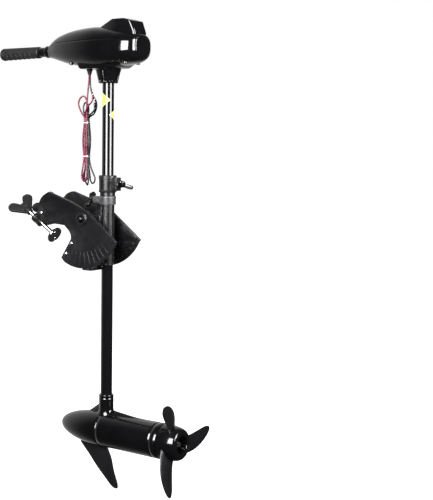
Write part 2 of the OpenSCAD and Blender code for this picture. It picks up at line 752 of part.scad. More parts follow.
port_cheek();
starboard_cheek();
transom_plate();
front_bridge();
bracket_screws();
clamp_bushes();
pivot_bolt();
pivot_nut();
port_pad();
port_screw();
port_handle();
starboard_pad();
starboard_screw();
starboard_handle();
swivel_sleeve();
upper_bush();
lower_bush();
tension_plug();
tension_screw();
lock_bar();
release_lever();
lock_springs();
depth_collar();
depth_plug();
depth_screw();
shaft_tube();
nose_cone();
motor_housing();
end_bell();
magnets();
brush_card();
brushes();
bearings();
shaft_seal();
end_seals();
through_bolts();
inner_cable();
head_collar();
lower_case();
upper_cover();
meter_lens();
case_screws();
switch_body();
tiller_bush();
lead_gland();
tiller_tube();
grip();
drive_rod();
switch_rotor();
motor_shaft();
armature();
commutator();
propeller();
drive_pin();
prop_nut();
red_lead();
black_lead();
lead_hank();
lead_terminals();
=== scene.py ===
"""Looks of the electric outboard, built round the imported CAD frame. Sizes below are in millimetres."""
import bpy
import bmesh
import json
from math import sin, cos, pi, radians, sqrt, asin, atan2, exp, floor
from mathutils import Vector, Matrix

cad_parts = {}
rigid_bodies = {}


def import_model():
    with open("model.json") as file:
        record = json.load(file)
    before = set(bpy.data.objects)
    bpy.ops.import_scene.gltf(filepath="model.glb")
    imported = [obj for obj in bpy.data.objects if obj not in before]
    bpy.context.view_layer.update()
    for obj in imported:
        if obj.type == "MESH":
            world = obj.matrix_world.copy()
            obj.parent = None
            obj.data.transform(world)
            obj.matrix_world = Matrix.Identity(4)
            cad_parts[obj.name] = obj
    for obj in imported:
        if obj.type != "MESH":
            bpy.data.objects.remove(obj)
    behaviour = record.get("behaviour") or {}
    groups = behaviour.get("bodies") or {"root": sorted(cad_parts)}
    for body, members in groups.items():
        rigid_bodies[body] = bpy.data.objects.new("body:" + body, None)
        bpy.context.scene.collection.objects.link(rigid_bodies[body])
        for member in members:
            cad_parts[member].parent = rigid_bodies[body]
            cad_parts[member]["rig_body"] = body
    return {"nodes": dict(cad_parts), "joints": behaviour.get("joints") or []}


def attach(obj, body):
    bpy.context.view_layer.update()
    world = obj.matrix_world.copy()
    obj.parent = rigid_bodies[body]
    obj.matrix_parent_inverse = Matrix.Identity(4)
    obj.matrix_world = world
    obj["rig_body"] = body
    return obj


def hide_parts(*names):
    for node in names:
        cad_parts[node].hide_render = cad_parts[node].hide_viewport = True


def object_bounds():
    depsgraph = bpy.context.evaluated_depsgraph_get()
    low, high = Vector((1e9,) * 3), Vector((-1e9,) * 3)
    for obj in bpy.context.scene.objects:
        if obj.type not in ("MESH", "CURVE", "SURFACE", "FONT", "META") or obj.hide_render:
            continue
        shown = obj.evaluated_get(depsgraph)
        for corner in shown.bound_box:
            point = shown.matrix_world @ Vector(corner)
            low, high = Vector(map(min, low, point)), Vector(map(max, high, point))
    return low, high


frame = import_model()
cad_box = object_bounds()
joints = {j["name"]: j for j in frame["joints"]}
pivot = Vector(joints["tilt"]["pos_m"])
leg_x = joints["steer"]["pos_m"][0]
pod_z = joints["prop_spin"]["pos_m"][2]
STORED = radians(33)                      # the bracket's turn about the pivot


def leg(p):
    """The leg's frame: tube axis at X = 0, pod axis at Z = 0."""
    return Vector((leg_x + p[0] / 1000, p[1] / 1000, pod_z + p[2] / 1000))


def bracket(p):
    """The bracket's frame, whose origin is the pivot."""
    x, y, z = p
    return Vector((pivot.x + (x * cos(STORED) + z * sin(STORED)) / 1000, y / 1000,
                   pivot.z + (z * cos(STORED) - x * sin(STORED)) / 1000))


# ---------- camera ----------
VIEW = radians(38)                        # how far round from the port side the camera stands
CAMERA_AWAY, CAMERA_UP = 2.62, 0.680      # metres from the tube, and above the pod
CAMERA_ROLL = radians(0.37)
camera = bpy.data.objects.new("camera", bpy.data.cameras.new("camera"))
bpy.context.scene.collection.objects.link(camera)
bpy.context.scene.camera = camera
camera.location = (leg_x + CAMERA_AWAY * sin(VIEW), -CAMERA_AWAY * cos(VIEW), pod_z + CAMERA_UP)
camera.rotation_euler = (Matrix.Rotation(VIEW, 3, "Z") @ Matrix.Rotation(pi / 2, 3, "X")
                         @ Matrix.Rotation(CAMERA_ROLL, 3, "Z")).to_euler()
camera.data.lens = 78.3
camera.data.shift_x = 0.2172
camera.data.shift_y = -0.206


# ---------- materials ----------
def nodes_of(name):
    m = bpy.data.materials.new(name)
    m.use_nodes = True
    t = m.node_tree
    return m, t, t.nodes["Principled BSDF"]


def node(t, kind, links=(), **values):
    n = t.nodes.new(kind)
    for key, value in values.items():
        if hasattr(n, key):
            setattr(n, key, value)
        else:
            label = key.replace("_", " ")
            socket = label.capitalize() if label.capitalize() in n.inputs else label.title()
            n.inputs[socket].default_value = value
    for socket, source in links:
        t.links.new(source, n.inputs[socket])
    return n


def grain(t, scale, detail=4.0, stretch=(1, 1, 1), rough=0.6):
    place = node(t, "ShaderNodeTexCoord")
    mapping = node(t, "ShaderNodeMapping", [("Vector", place.outputs["Object"])])
    mapping.inputs["Scale"].default_value = stretch
    noise = node(t, "ShaderNodeTexNoise", [("Vector", mapping.outputs["Vector"])])
    noise.inputs["Scale"].default_value = scale
    noise.inputs["Detail"].default_value = detail
    noise.inputs["Roughness"].default_value = rough
    return noise.outputs["Fac"]


def ramp(t, source, stops):
    r = node(t, "ShaderNodeValToRGB", [("Fac", source)])
    e = r.color_ramp.elements
    while len(e) < len(stops):
        e.new(0.5)
    for element, (at, colour) in zip(e, stops):
        element.position = at
        element.color = (*colour, 1) if len(colour) == 3 else colour
    return r.outputs["Color"]


def ranged(t, source, low, high, frm=(0.3, 0.7)):
    m = node(t, "ShaderNodeMapRange", [("Value", source)])
    m.inputs["From Min"].default_value, m.inputs["From Max"].default_value = frm
    m.inputs["To Min"].default_value, m.inputs["To Max"].default_value = low, high
    return m.outputs["Result"]


def finish_of(name, dark, light, rough, patch=9, bump=(900, 0.05), metal=0.0, coat=0.0, stretch=(1, 1, 1),
              wear=None, speckle=0.0, ior=1.5, **sockets):
    """A finish: colour drifting between dark and light in soft patches, roughness drifting between
    two values, a fine surface texture, and paler rubbed edges where wear is a colour."""
    m, t, shader = nodes_of(name)
    patches = grain(t, patch, 5, stretch)
    fine = grain(t, bump[0], 3, stretch)
    colour = ramp(t, patches, [(0.32, dark), (0.68, light)])
    if speckle:
        spots = ramp(t, grain(t, bump[0] * 1.7, 2), [(0.60, (0, 0, 0)), (0.74, (speckle,) * 3)])
        mix = node(t, "ShaderNodeMix", data_type="RGBA", blend_type="ADD")
        mix.inputs[0].default_value = 1.0
        t.links.new(colour, mix.inputs[6])
        t.links.new(spots, mix.inputs[7])
        colour = mix.outputs[2]
    if wear:
        geometry = node(t, "ShaderNodeNewGeometry")
        edge = ramp(t, geometry.outputs["Pointiness"], [(0.515, (0, 0, 0)), (0.56, (1, 1, 1))])
        scuff = ramp(t, grain(t, 160, 5), [(0.42, (0, 0, 0)), (0.62, (1, 1, 1))])
        both = node(t, "ShaderNodeMath", operation="MULTIPLY")
        t.links.new(edge, both.inputs[0])
        t.links.new(scuff, both.inputs[1])
        mix = node(t, "ShaderNodeMix", data_type="RGBA")
        t.links.new(both.outputs[0], mix.inputs[0])
        t.links.new(colour, mix.inputs[6])
        mix.inputs[7].default_value = (*wear, 1)
        colour = mix.outputs[2]
    t.links.new(colour, shader.inputs["Base Color"])
    t.links.new(ranged(t, grain(t, patch * 6, 4, stretch), rough[0], rough[1]), shader.inputs["Roughness"])
    relief = node(t, "ShaderNodeBump", [("Height", fine)])
    relief.inputs["Strength"].default_value = bump[1]
    relief.inputs["Distance"].default_value = 0.0004
    t.links.new(relief.outputs["Normal"], shader.inputs["Normal"])
    shader.inputs["Metallic"].default_value = metal
    shader.inputs["IOR"].default_value = ior
    shader.inputs["Coat Weight"].default_value = coat
    shader.inputs["Coat Roughness"].default_value = 0.04
    for key, value in sockets.items():
        shader.inputs[key.replace("_", " ")].default_value = value
    return m


MAT = {
    "moulded_black": finish_of("moulded_black", (0.0022, 0.0022, 0.0026), (0.0042, 0.0042, 0.0048), (0.07, 0.13),
        bump=(260, 0.06), coat=0.5),
    "pod_paint": finish_of("pod_paint", (0.0018, 0.0018, 0.0022), (0.0036, 0.0036, 0.0042), (0.10, 0.18),
        bump=(420, 0.05), coat=0.5),
    "bracket_black": finish_of("bracket_black", (0.0035, 0.0035, 0.0042), (0.0065, 0.0065, 0.0075), (0.24, 0.36),
        bump=(1500, 0.22), wear=(0.030, 0.030, 0.032), speckle=0.002),
    "tube_black": finish_of("tube_black", (0.0024, 0.0024, 0.0028), (0.0050, 0.0050, 0.0056), (0.06, 0.11), patch=120,
        bump=(1400, 0.05), stretch=(1, 1, 0.02), coat=0.3),
    "grip_black": finish_of("grip_black", (0.0052, 0.0050, 0.0050), (0.0095, 0.0090, 0.0090), (0.42, 0.58),
        bump=(2200, 0.30), speckle=0.003),
    "plated_steel": finish_of("plated_steel", (0.60, 0.60, 0.61), (0.82, 0.82, 0.83), (0.08, 0.22), patch=60,
        bump=(700, 0.06), metal=1.0),
    "bare_steel": finish_of("bare_steel", (0.38, 0.38, 0.39), (0.55, 0.55, 0.56), (0.22, 0.36), patch=70,
        bump=(1600, 0.15), metal=1.0, stretch=(0.1, 1, 1)),
    "brass": finish_of("brass", (0.50, 0.34, 0.12), (0.68, 0.50, 0.22), (0.20, 0.34), patch=60,
        bump=(1500, 0.12), metal=1.0),
    "copper": finish_of("copper", (0.55, 0.22, 0.10), (0.75, 0.34, 0.18), (0.20, 0.36), patch=90,
        bump=(1500, 0.2), metal=1.0),
    "white_nylon": finish_of("white_nylon", (0.62, 0.60, 0.55), (0.74, 0.72, 0.67), (0.35, 0.5),
        bump=(1800, 0.12), Subsurface_Weight=0.1),
    "board_brown": finish_of("board_brown", (0.14, 0.075, 0.03), (0.22, 0.12, 0.055), (0.45, 0.6),
        bump=(1200, 0.25), stretch=(1, 0.1, 1)),
    "magnet": finish_of("magnet", (0.05, 0.05, 0.055), (0.09, 0.09, 0.10), (0.42, 0.6), bump=(1800, 0.4)),
    "iron": finish_of("iron", (0.12, 0.09, 0.06), (0.20, 0.15, 0.11), (0.4, 0.6), patch=80, bump=(1600, 0.4),
        metal=0.8, stretch=(6, 1, 1)),
    "seal_rubber": finish_of("seal_rubber", (0.0040, 0.0040, 0.0040), (0.0075, 0.0075, 0.0075), (0.45, 0.6),
        bump=(2000, 0.3)),
    "lens": finish_of("lens", (0.010, 0.012, 0.015), (0.020, 0.022, 0.027), (0.05, 0.10), bump=(200, 0.02),
        coat=0.8),
    "lead_red": finish_of("lead_red", (0.125, 0.006, 0.028), (0.20, 0.012, 0.050), (0.26, 0.38), patch=40,
        bump=(900, 0.12), coat=0.15),
    "lead_black": finish_of("lead_black", (0.0040, 0.0040, 0.0045), (0.0100, 0.0090, 0.0095), (0.28, 0.40), patch=40,
        bump=(900, 0.12), coat=0.15),
}
EXTRA = {
    "dark_steel": finish_of("dark_steel", (0.03, 0.03, 0.033), (0.06, 0.06, 0.064), (0.20, 0.32), patch=60,
        bump=(900, 0.12), metal=1.0),
    "blade_black": finish_of("blade_black", (0.0050, 0.0050, 0.0058), (0.0095, 0.0095, 0.0105), (0.20, 0.30),
        bump=(1300, 0.12), wear=(0.030, 0.030, 0.032)),
    "sticker_yellow": finish_of("sticker_yellow", (0.58, 0.50, 0.07), (0.70, 0.62, 0.13), (0.30, 0.45), patch=90,
        bump=(700, 0.08)),
    "sticker_border": finish_of("sticker_border", (0.62, 0.58, 0.26), (0.72, 0.68, 0.36), (0.30, 0.45), patch=90,
        bump=(700, 0.08)),
    "tie_clear": finish_of("tie_clear", (0.72, 0.66, 0.64), (0.86, 0.80, 0.78), (0.25, 0.4), patch=80,
        bump=(900, 0.1), Subsurface_Weight=0.2),
    # painted sheen: the swivel band is coloured a lighter grey than the bracket's black to paint in the sheen on its
    # front face; its paler rubbed edges are wear
    "band_painted_sheen": finish_of("band_painted_sheen", (0.030, 0.030, 0.032), (0.050, 0.050, 0.053), (0.30, 0.42),
        bump=(1500, 0.22), wear=(0.10, 0.10, 0.105)),
}


# ---------- shapes: each is (points, faces) in millimetres ----------
def merge(*shapes):
    points, faces = [], []
    for p, f in shapes:
        n = len(points)
        points += [tuple(v) for v in p]
        faces += [tuple(i + n for i in face) for face in f]
    return points, faces


def moved(shape, matrix):
    return [tuple(matrix @ Vector(p)) for p in shape[0]], shape[1]


def shifted(shape, x=0, y=0, z=0):
    return moved(shape, Matrix.Translation((x, y, z)))


def along_x(shape):
    return moved(shape, Matrix.Rotation(pi / 2, 4, "Y"))


def turned(shape, degrees, axis):
    return moved(shape, Matrix.Rotation(radians(degrees), 4, axis))


def loft(rings, caps=True):
    n, points, faces = len(rings[0]), [], []
    for r in rings:
        points += [tuple(p) for p in r]
    for j in range(len(rings) - 1):
        for i in range(n):
            k = (i + 1) % n
            faces.append((j * n + i, j * n + k, (j + 1) * n + k, (j + 1) * n + i))
    if caps:
        faces.append(tuple(range(n)))
        faces.append(tuple(range((len(rings) - 1) * n, len(rings) * n)))
    return points, faces


def lathe(profile, n=72):
    """Revolves (radius, height) pairs about Z. A profile that starts and ends off the axis is closed into a ring."""
    rings = [[(max(r, 1e-4) * cos(2 * pi * i / n), max(r, 1e-4) * sin(2 * pi * i / n), z) for i in range(n)]
             for r, z in profile]
    return loft(rings)


def washer(profile, n=72):
    """A ring whose whole section is the closed profile."""
    section = profile + [profile[0]]
    rings = [[(r * cos(2 * pi * i / n), r * sin(2 * pi * i / n), z) for i in range(n)] for r, z in section]
    points, faces = loft(rings, caps=False)
    last, keep = (len(section) - 1) * n, len(profile) * n
    return points[:keep], [tuple(i - last if i >= last else i for i in f) for f in faces]


def prism(outline, y0, y1):
    """An outline in X and Z, made solid from y0 to y1."""
    return loft([[(x, y0, z) for x, z in outline], [(x, y1, z) for x, z in outline]])


def block(x0, x1, y0, y1, z0, z1):
    return prism([(x0, z0), (x1, z0), (x1, z1), (x0, z1)], y0, y1)


def arc(cx, cz, r, a0, a1, n):
    return [(cx + r * cos(radians(a0 + (a1 - a0) * i / n)), cz + r * sin(radians(a0 + (a1 - a0) * i / n)))
            for i in range(n + 1)]


def catmull(points, steps):
    out, n = [], len(points)
    for i in range(n - 1):
        four = [points[max(i - 1, 0)], points[i], points[i + 1], points[min(i + 2, n - 1)]]
        for s in range(steps):
            t = s / steps
            out.append(tuple(0.5 * (2 * b + (c - a) * t + (2 * a - 5 * b + 4 * c - d) * t * t
                                    + (3 * b - a - 3 * c + d) * t ** 3) for a, b, c, d in zip(*four)))
    out.append(tuple(points[-1]))
    return out


def piece(name, shape, finish, stands_for=(), body=None, place=leg, bevel=0, segments=3, sharp=38,
          inset=None):
    """Makes one visible piece from a shape, and ties it to the CAD nodes it stands for."""
    points, faces = shape
    mesh = bpy.data.meshes.new(name)
    mesh.from_pydata([place(p) for p in points], [], faces)
    bm = bmesh.new()
    bm.from_mesh(mesh)
    bmesh.ops.remove_doubles(bm, verts=bm.verts, dist=2e-6)
    bmesh.ops.recalc_face_normals(bm, faces=bm.faces)
    if inset:
        side, thickness, depth = inset
        largest = max((f for f in bm.faces if f.normal.y * side > 0.9), key=lambda f: f.calc_area())
        bmesh.ops.inset_region(bm, faces=[largest], thickness=thickness / 1000, depth=depth / 1000)
    bm.to_mesh(mesh)
    bm.free()
    obj = bpy.data.objects.new(name, mesh)
    bpy.context.scene.collection.objects.link(obj)
    if bevel:
        b = obj.modifiers.new("bevel", "BEVEL")
        b.width, b.segments, b.limit_method, b.angle_limit = bevel / 1000, segments, "ANGLE", radians(32)
        b.harden_normals = False
    if obj.modifiers:
        bpy.context.view_layer.update()
        done = bpy.data.meshes.new_from_object(obj.evaluated_get(bpy.context.evaluated_depsgraph_get()))
        obj.modifiers.clear()
        obj.data = done
    obj.data.shade_smooth()
    obj.data.set_sharp_from_angle(angle=radians(sharp))
    obj.data.materials.clear()
    obj.data.materials.append(MAT.get(finish) or EXTRA[finish])
    stands_for = [stands_for] if isinstance(stands_for, str) else list(stands_for)
    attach(obj, body or frame["nodes"][stands_for[0]]["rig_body"])
    if stands_for:
        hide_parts(*stands_for)
    return obj


# ---------- leads ----------
LEAD_D = 4.0
HANK_X = -66.0                            # middle of the hank
SPREAD = [(752, 1.0), (739, 0.98), (722, 1.25), (708, 1.46), (694, 1.52), (680, 1.42), (668, 1.22), (657, 1.12),
          (650, 1.12)]


def run_down(x, y):
    return [(x * k, y * k, z) for z, k in SPREAD]


def run_up(x, y):
    return run_down(x, y)[::-1]


def hank_points(*groups):
    return [(HANK_X + x, y, z) for g in groups for x, y, z in g]


red_lead = [(-58, -2.2, 862), (-58, -2.2, 852), (-58.5, -2.2, 840), (-60, -2.2, 826), (-62, -2.2, 810),
            (-63, -2.2, 796), (-63.4, -2.2, 775)] + hank_points(
    run_down(2, -2.2),
    [(2.8, -3.2, 632), (4.4, -4.2, 615), (4.6, -4.4, 606), (2.2, -4.4, 599), (-3, -4.4, 595.8),
     (-8.6, -4.4, 599), (-11.2, -4.4, 607), (-10.2, -4.2, 619), (-7.8, -3.4, 636)],
    run_up(-6, -2.2),
    [(-12, -3, 761), (-20, -3.5, 774), (-23.5, -3.5, 787), (-19, -2.6, 799), (-11, -0.5, 804), (-5, 1.8, 799),
     (-2.6, 2.4, 787), (-2.1, 2.4, 768)],
    run_down(-2, 2.2),
    [(-5.5, 4.6, 634), (-11, 5.2, 619), (-13.4, 4.4, 609), (-10.6, 2.8, 601), (-4.6, 1.2, 597.6), (1, 0.4, 601),
     (2.4, 0.0, 609), (0.8, -0.4, 622), (-1.4, -1.8, 638)],
    run_up(-2, -2.2),
    [(-0.6, -5.4, 761), (5, -8.2, 771), (13, -9.0, 781), (20.5, -8.2, 788), (24, -7, 796), (24, -7, 802)])
black_lead = [(-58, 2.2, 862), (-58, 2.2, 852), (-58, 2.2, 840), (-56.5, 2.2, 826), (-53, 2.2, 813),
              (-47.5, 2.6, 802), (-41.5, 3, 794), (-38, 3, 784), (-39.5, 3, 772), (-46.5, 2.6, 760)] + hank_points(
    run_down(6, 2.2),
    [(10.5, 3.4, 632), (18, 3.6, 616), (23.2, 3.6, 606), (23, 3.6, 596.5), (17, 3.6, 591), (10.8, 3.6, 596),
     (8.2, 3.4, 609), (5, 3.0, 630)],
    run_up(2, 2.2),
    [(1.6, 4.6, 764), (0.4, 6.4, 776), (-4, 7.0, 786), (-10.6, 6.8, 788.5), (-15, 6.0, 781), (-14.4, 5.0, 768),
     (-9, 3.2, 757)],
    run_down(-6, 2.2)[1:],
    [(-9.2, 6.4, 634), (-13, 9, 618), (-13.2, 9.2, 606), (-8.6, 7.6, 595), (-2, 3.6, 588.6), (4.5, -1.6, 587.2),
     (9.8, -6, 591), (12.2, -7.4, 600), (11.2, -6.6, 615), (8.4, -4.4, 634)],
    run_up(6, -2.2),
    [(13, -4.4, 758), (21.5, -6.2, 763), (27.6, -6.4, 768.5), (29.5, -6, 776), (29.5, -6, 782)])


def lead(name, points, finish, node_names):
    curve = bpy.data.curves.new(name, "CURVE")
    curve.dimensions = "3D"
    curve.bevel_depth = LEAD_D / 2000
    curve.bevel_resolution = 5
    curve.use_fill_caps = True
    line = catmull(points, 6)
    spline = curve.splines.new("POLY")
    spline.points.add(len(line) - 1)
    for p, at in zip(spline.points, line):
        p.co = (*leg(at), 1)
    obj = bpy.data.objects.new(name, curve)
    bpy.context.scene.collection.objects.link(obj)
    curve.materials.append(MAT[finish])
    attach(obj, "leg")
    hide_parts(*node_names)
    length = sum((leg(a) - leg(b)).length for a, b in zip(line, line[1:]))
    print(name, "is", round(length, 3), "m")
    return obj


red = lead("red_power_lead", red_lead, "lead_red", ["red_lead", "lead_hank"])
black = lead("black_power_lead", black_lead, "lead_black", ["black_lead", "lead_hank"])


def terminal(name, x, y, z, finish):
    """A crimped ring lug in a sleeve, pointing up."""
    sleeve = shifted(lathe([(0, 0), (2.2, 0), (2.6, 0.8), (2.6, 9), (2.3, 9.6), (2.45, 10.2), (2.2, 11.8), (0, 12)],
            28),
                     x, y, z)
    ring = washer([(3.2, -0.6), (5.8, -0.6), (6, -0.4), (6, 0.4), (5.8, 0.6), (3.2, 0.6), (3.0, 0.4), (3.0, -0.4)],
            40)
    tongue = block(-1.8, 1.8, -0.6, 0.6, -7.6, -5)
    flat = moved(ring, Matrix.Rotation(pi / 2, 4, "X"))
    lug = shifted(turned(merge(flat, tongue), 128, "Z"), x, y, z + 18)
    a = piece(name + "_sleeve", sleeve, finish, "lead_terminals")
    b = piece(name + "_lug", lug, "plated_steel", body="leg", bevel=0.12, segments=2)
    return [a, b]


red_end = terminal("red_terminal", -42, -7, 796, "lead_red")
black_end = terminal("black_terminal", -36.5, -6, 776, "lead_black")


def signed_power(value, power):
    return (1 if value > 0 else -1) * abs(value) ** power


def tie(name, z, half_x, half_y):
    """A cable tie pulled round the hank, with its head and cut tail."""
    ring = []
    for k in range(4):
        out = 0.9 if k in (1, 2) else 0.0
        up = 1.25 if k > 1 else -1.25
        ring.append([(HANK_X + (half_x + out) * signed_power(cos(a), 0.7),
                      (half_y + out) * signed_power(sin(a), 0.7), z + up)
                     for a in [2 * pi * i / 56 for i in range(56)]])
    points, faces = loft(ring + [ring[0]], caps=False)
    n = 4 * 56
    band = points[:n], [tuple(i - n if i >= n else i for i in f) for f in faces]
    head = block(HANK_X + half_x - 3.4, HANK_X + half_x + 1.0, -half_y - 3.2, -half_y + 0.4, z - 2.2, z + 2.2)
    tail = block(HANK_X + half_x - 2.6, HANK_X + half_x - 0.2, -half_y - 7.5, -half_y - 3.0, z - 0.5, z + 0.5)
    return piece(name, merge(band, head, tail), "tie_clear", body="leg", bevel=0.3, segments=2)


ties = [tie("upper_tie", 739, 8.5, 4.7), tie("lower_tie", 657, 9.5, 5.2)]

# ---------- floor and light ----------
floor_z = cad_box[0].z
bpy.ops.mesh.primitive_plane_add(size=40, location=(0, 0, floor_z - 0.001))
floor = bpy.context.object
floor.name = "studio_floor"
paper, t, shader = nodes_of("studio_paper")
t.links.new(ramp(t, grain(t, 3, 3), [(0.3, (0.70, 0.70, 0.70)), (0.7, (0.74, 0.74, 0.74))]),
            shader.inputs["Base Color"])
shader.inputs["Roughness"].default_value = 0.9
shader.inputs["Specular IOR Level"].default_value = 0.1
shader.inputs["Emission Color"].default_value = (1, 1, 1, 1)
shader.inputs["Emission Strength"].default_value = 0.50
floor.data.materials.append(paper)
floor.visible_glossy = floor.visible_diffuse = False


BOX_AWAY, BOX_UP, BOX_TALL = 2.3, 0.95, 1.8


def softbox(name, azimuth, width, power):
    light = bpy.data.lights.new(name, "AREA")
    light.shape, light.size, light.size_y, light.energy = "RECTANGLE", width, BOX_TALL, power
    obj = bpy.data.objects.new(name, light)
    bpy.context.scene.collection.objects.link(obj)
    a = radians(azimuth)
    obj.location = (leg_x + BOX_AWAY * sin(a), -BOX_AWAY * cos(a), BOX_UP)
    target = Vector((leg_x, 0, BOX_UP))
    obj.rotation_euler = (target - obj.location).to_track_quat("-Z", "Y").to_euler()
    obj.visible_camera = False
    return obj


softbox("left_softbox", 10, 1.35, 150)
softbox("right_softbox", 93, 1.25, 130)
sun = bpy.data.lights.new("overhead", "SUN")
sun.energy, sun.angle = 2.4, radians(30)
sun_obj = bpy.data.objects.new("overhead", sun)
bpy.context.scene.collection.objects.link(sun_obj)
sun_obj.rotation_euler = (radians(-6), radians(-12), 0)
sun_obj.visible_glossy = False

world = bpy.data.worlds.new("studio")
bpy.context.scene.world = world
world.use_nodes = True
t = world.node_tree
t.nodes.clear()
way = node(t, "ShaderNodeTexCoord")
facing = node(t, "ShaderNodeVectorMath", operation="DOT_PRODUCT")
t.links.new(way.outputs["Generated"], facing.inputs[0])
facing.inputs[1].default_value = (-0.90, 0.40, 0.10)
back = node(t, "ShaderNodeMapRange", [("Value", facing.outputs["Value"])], interpolation_type="SMOOTHSTEP")
back.inputs["From Min"].default_value, back.inputs["From Max"].default_value = 0.30, 0.95
back.inputs["To Min"].default_value, back.inputs["To Max"].default_value = 0.035, 0.75
seen = node(t, "ShaderNodeLightPath")
lit = node(t, "ShaderNodeBackground", [("Strength", back.outputs["Result"])])
plain = node(t, "ShaderNodeBackground")
plain.inputs["Color"].default_value = lit.inputs["Color"].default_value = (1, 1, 1, 1)
choose = node(t, "ShaderNodeMixShader", [(0, seen.outputs["Is Camera Ray"]), (1, lit.outputs[0]), (2,
        plain.outputs[0])])
t.links.new(choose.outputs[0], node(t, "ShaderNodeOutputWorld").inputs[0])
bpy.context.scene.view_settings.view_transform = "Standard"

# ---------- head ----------
STATIONS = [(-180, 16, 902, 934), (-168, 21, 899, 943), (-148, 29, 893, 953), (-120, 37.5, 885, 961),
            (-92, 44, 879, 966), (-60, 49.5, 875, 969), (-25, 53, 872, 970), (15, 54, 872, 966),
            (45, 53.4, 873.5, 960.5), (62, 52.2, 875, 957), (74, 49.9, 877, 954), (84, 46.8, 879.5, 951.5),
            (92, 42.8, 883, 949), (98, 37.8, 887, 946.5), (102, 31, 892, 943)]
SQUARE = 0.78                             # how squared the head's section is: 1 would be an ellipse


def split_at(x):
    """Height of the joint between the two halves: level, then running down round the nose."""
    return 936 - 0.33 * max(0, -140 - x)


def half_ring(station, upper, count=40):
    x, w, low, high = station
    mid, half, s = (low + high) / 2, (high - low) / 2, split_at(station[0])
    edge = s + (0.9 if upper else -0.9)
    start = asin(min(1, max(-1, abs((edge - mid) / half) ** (1 / SQUARE) * (1 if edge > mid else -1))))
    end = pi - start
    if not upper:
        end = -pi - start
    ring = []
    for k in range(count + 1):
        a = start + (end - start) * k / count
        ring.append((x, w * signed_power(cos(a), SQUARE), mid + half * signed_power(sin(a), SQUARE)))
    lip = s + (0.25 if upper else -0.25)
    first, last = ring[0], ring[-1]
    return [(x, first[1] - 0.9, lip)] + ring + [(x, last[1] + 0.9, lip)]


def head_half(upper):
    rings = [half_ring(s, upper) for s in catmull(STATIONS, 6)]
    end = STATIONS[-1]
    s = split_at(end[0]) + (0.25 if upper else -0.25)
    last = rings[-1]
    for scale, out in [(0.975, 1.0), (0.92, 1.8), (0.80, 2.3), (0.55, 2.7), (0.25, 2.9), (0.02, 3.0)]:
        rings.append([(end[0] + out, y * scale, s + (z - s) * scale) for _, y, z in last])
    start = [(-181.2, y * 0.93, split_at(-180) + (z - split_at(-180)) * 0.93) for _, y, z in rings[0]]
    return loft([start] + rings)


piece("lower_shell", head_half(False), "moulded_black", "lower_case", sharp=50)
piece("upper_shell", head_half(True), "moulded_black", "upper_cover", sharp=50)


def hull_of(points):
    bm = bmesh.new()
    for p in points:
        bm.verts.new(p)
    found = bmesh.ops.convex_hull(bm, input=bm.verts)
    gone = list({g for g in found["geom_interior"] + found["geom_unused"] if isinstance(g, bmesh.types.BMVert)})
    bmesh.ops.delete(bm, geom=gone, context="VERTS")
    bmesh.ops.dissolve_limit(bm, angle_limit=radians(1.5), verts=bm.verts, edges=bm.edges)
    bm.verts.index_update()
    shape = [tuple(v.co) for v in bm.verts], [tuple(v.index for v in f.verts) for f in bm.faces]
    bm.free()
    return shape


HUMP = [(-6, 17, 5, 967.5), (35, 22, 7, 984), (60, 22, 7, 984), (79, 21, 6, 978), (91, 20, 5, 951)]
corners = []
for x, wide, r, top in HUMP:
    for side in (-1, 1):
        for z in (944, top):
            corners += [(x + r * cos(a), side * wide + r * sin(a), z) for a in [radians(30 * k) for k in range(12)]]
piece("cover_hump", hull_of(corners), "moulded_black", body="leg", bevel=2.2, segments=4, sharp=30)
# the meter's window sits in the slanted front of the hump, in a thin frame with five indicator lights
slant = Matrix.Translation((8.5, 0, 974.6)) @ Matrix.Rotation(radians(-23), 4, "Y")
frame_ring = merge(block(-13.4, 13.4, -17, -15, -1, 2.4), block(-13.4, 13.4, 15, 17, -1, 2.4),
                   block(-13.4, -11.9, -15, 15, -1, 2.4), block(11.9, 13.4, -15, 15, -1, 2.4))
piece("meter_frame", moved(frame_ring, slant), "moulded_black", body="leg", bevel=0.5)
piece("meter_window", moved(block(-11.8, 11.8, -14.8, 14.8, -1, 1.4), slant), "lens", "meter_lens", bevel=0.4)
lights = [moved(shifted(lathe([(0, 0), (1.3, 0), (1.25, 0.5), (0.9, 0.85), (0, 0.95)], 20), x=2, y=-10 + 5 * k,
        z=1.3), slant)
          for k in range(5)]
piece("meter_lights", merge(*lights), "tie_clear", body="leg")

pan = [(-74, 886), (-68, 872), (-63, 868.4), (36, 868.4), (43, 870), (61, 881), (62, 892), (-74, 892)]
piece("head_pan", prism(pan, -32, 32), "moulded_black", body="leg", bevel=2.4, segments=4)


def cross(thin, long, z0, z1):
    """The two bars of a cross recess."""
    return [block(-thin, thin, -long, long, z0, z1), block(-long, long, -thin, thin, z0, z1)]


cups = []
for x, z in ((-95, 880.2), (70, 877.2)):
    for y in (-26, 26):
        cup = washer([(3.4, 0), (3.4, -3.0), (3.9, -3.6), (4.8, -3.2), (5.2, 3), (3.4, 3)], 32)
        head = merge(lathe([(0, -1.6), (1.6, -1.9), (2.7, -1.4), (3.0, -0.6), (3.0, 1), (0, 1)], 28),
                     *cross(0.4, 1.9, -2.15, -1.2))
        cups.append((shifted(cup, x, y, z + 3), shifted(head, x, y, z + 3)))
piece("screw_cups", merge(*[c[0] for c in cups]), "moulded_black", body="leg")
piece("case_screw_heads", merge(*[c[1] for c in cups]), "plated_steel", "case_screws")

# the ribbed cone below the head
def cone_ring(z):
    t = (z - 833) / 35
    base = 23 + 8.5 * t
    deep = 3.4 * min(1, max(0, (t - 0.10) / 0.07)) * min(1, max(0, (0.93 - t) / 0.07))
    ring = []
    for i in range(160):
        a = 2 * pi * i / 160
        wave = cos(10 * a)
        r = base - deep * (wave ** 0.35 if wave > 0 else 0)
        ring.append((r * cos(a), r * sin(a), z))
    return ring


def circle(r, z, n=160):
    return [(r * cos(2 * pi * i / n), r * sin(2 * pi * i / n), z) for i in range(n)]


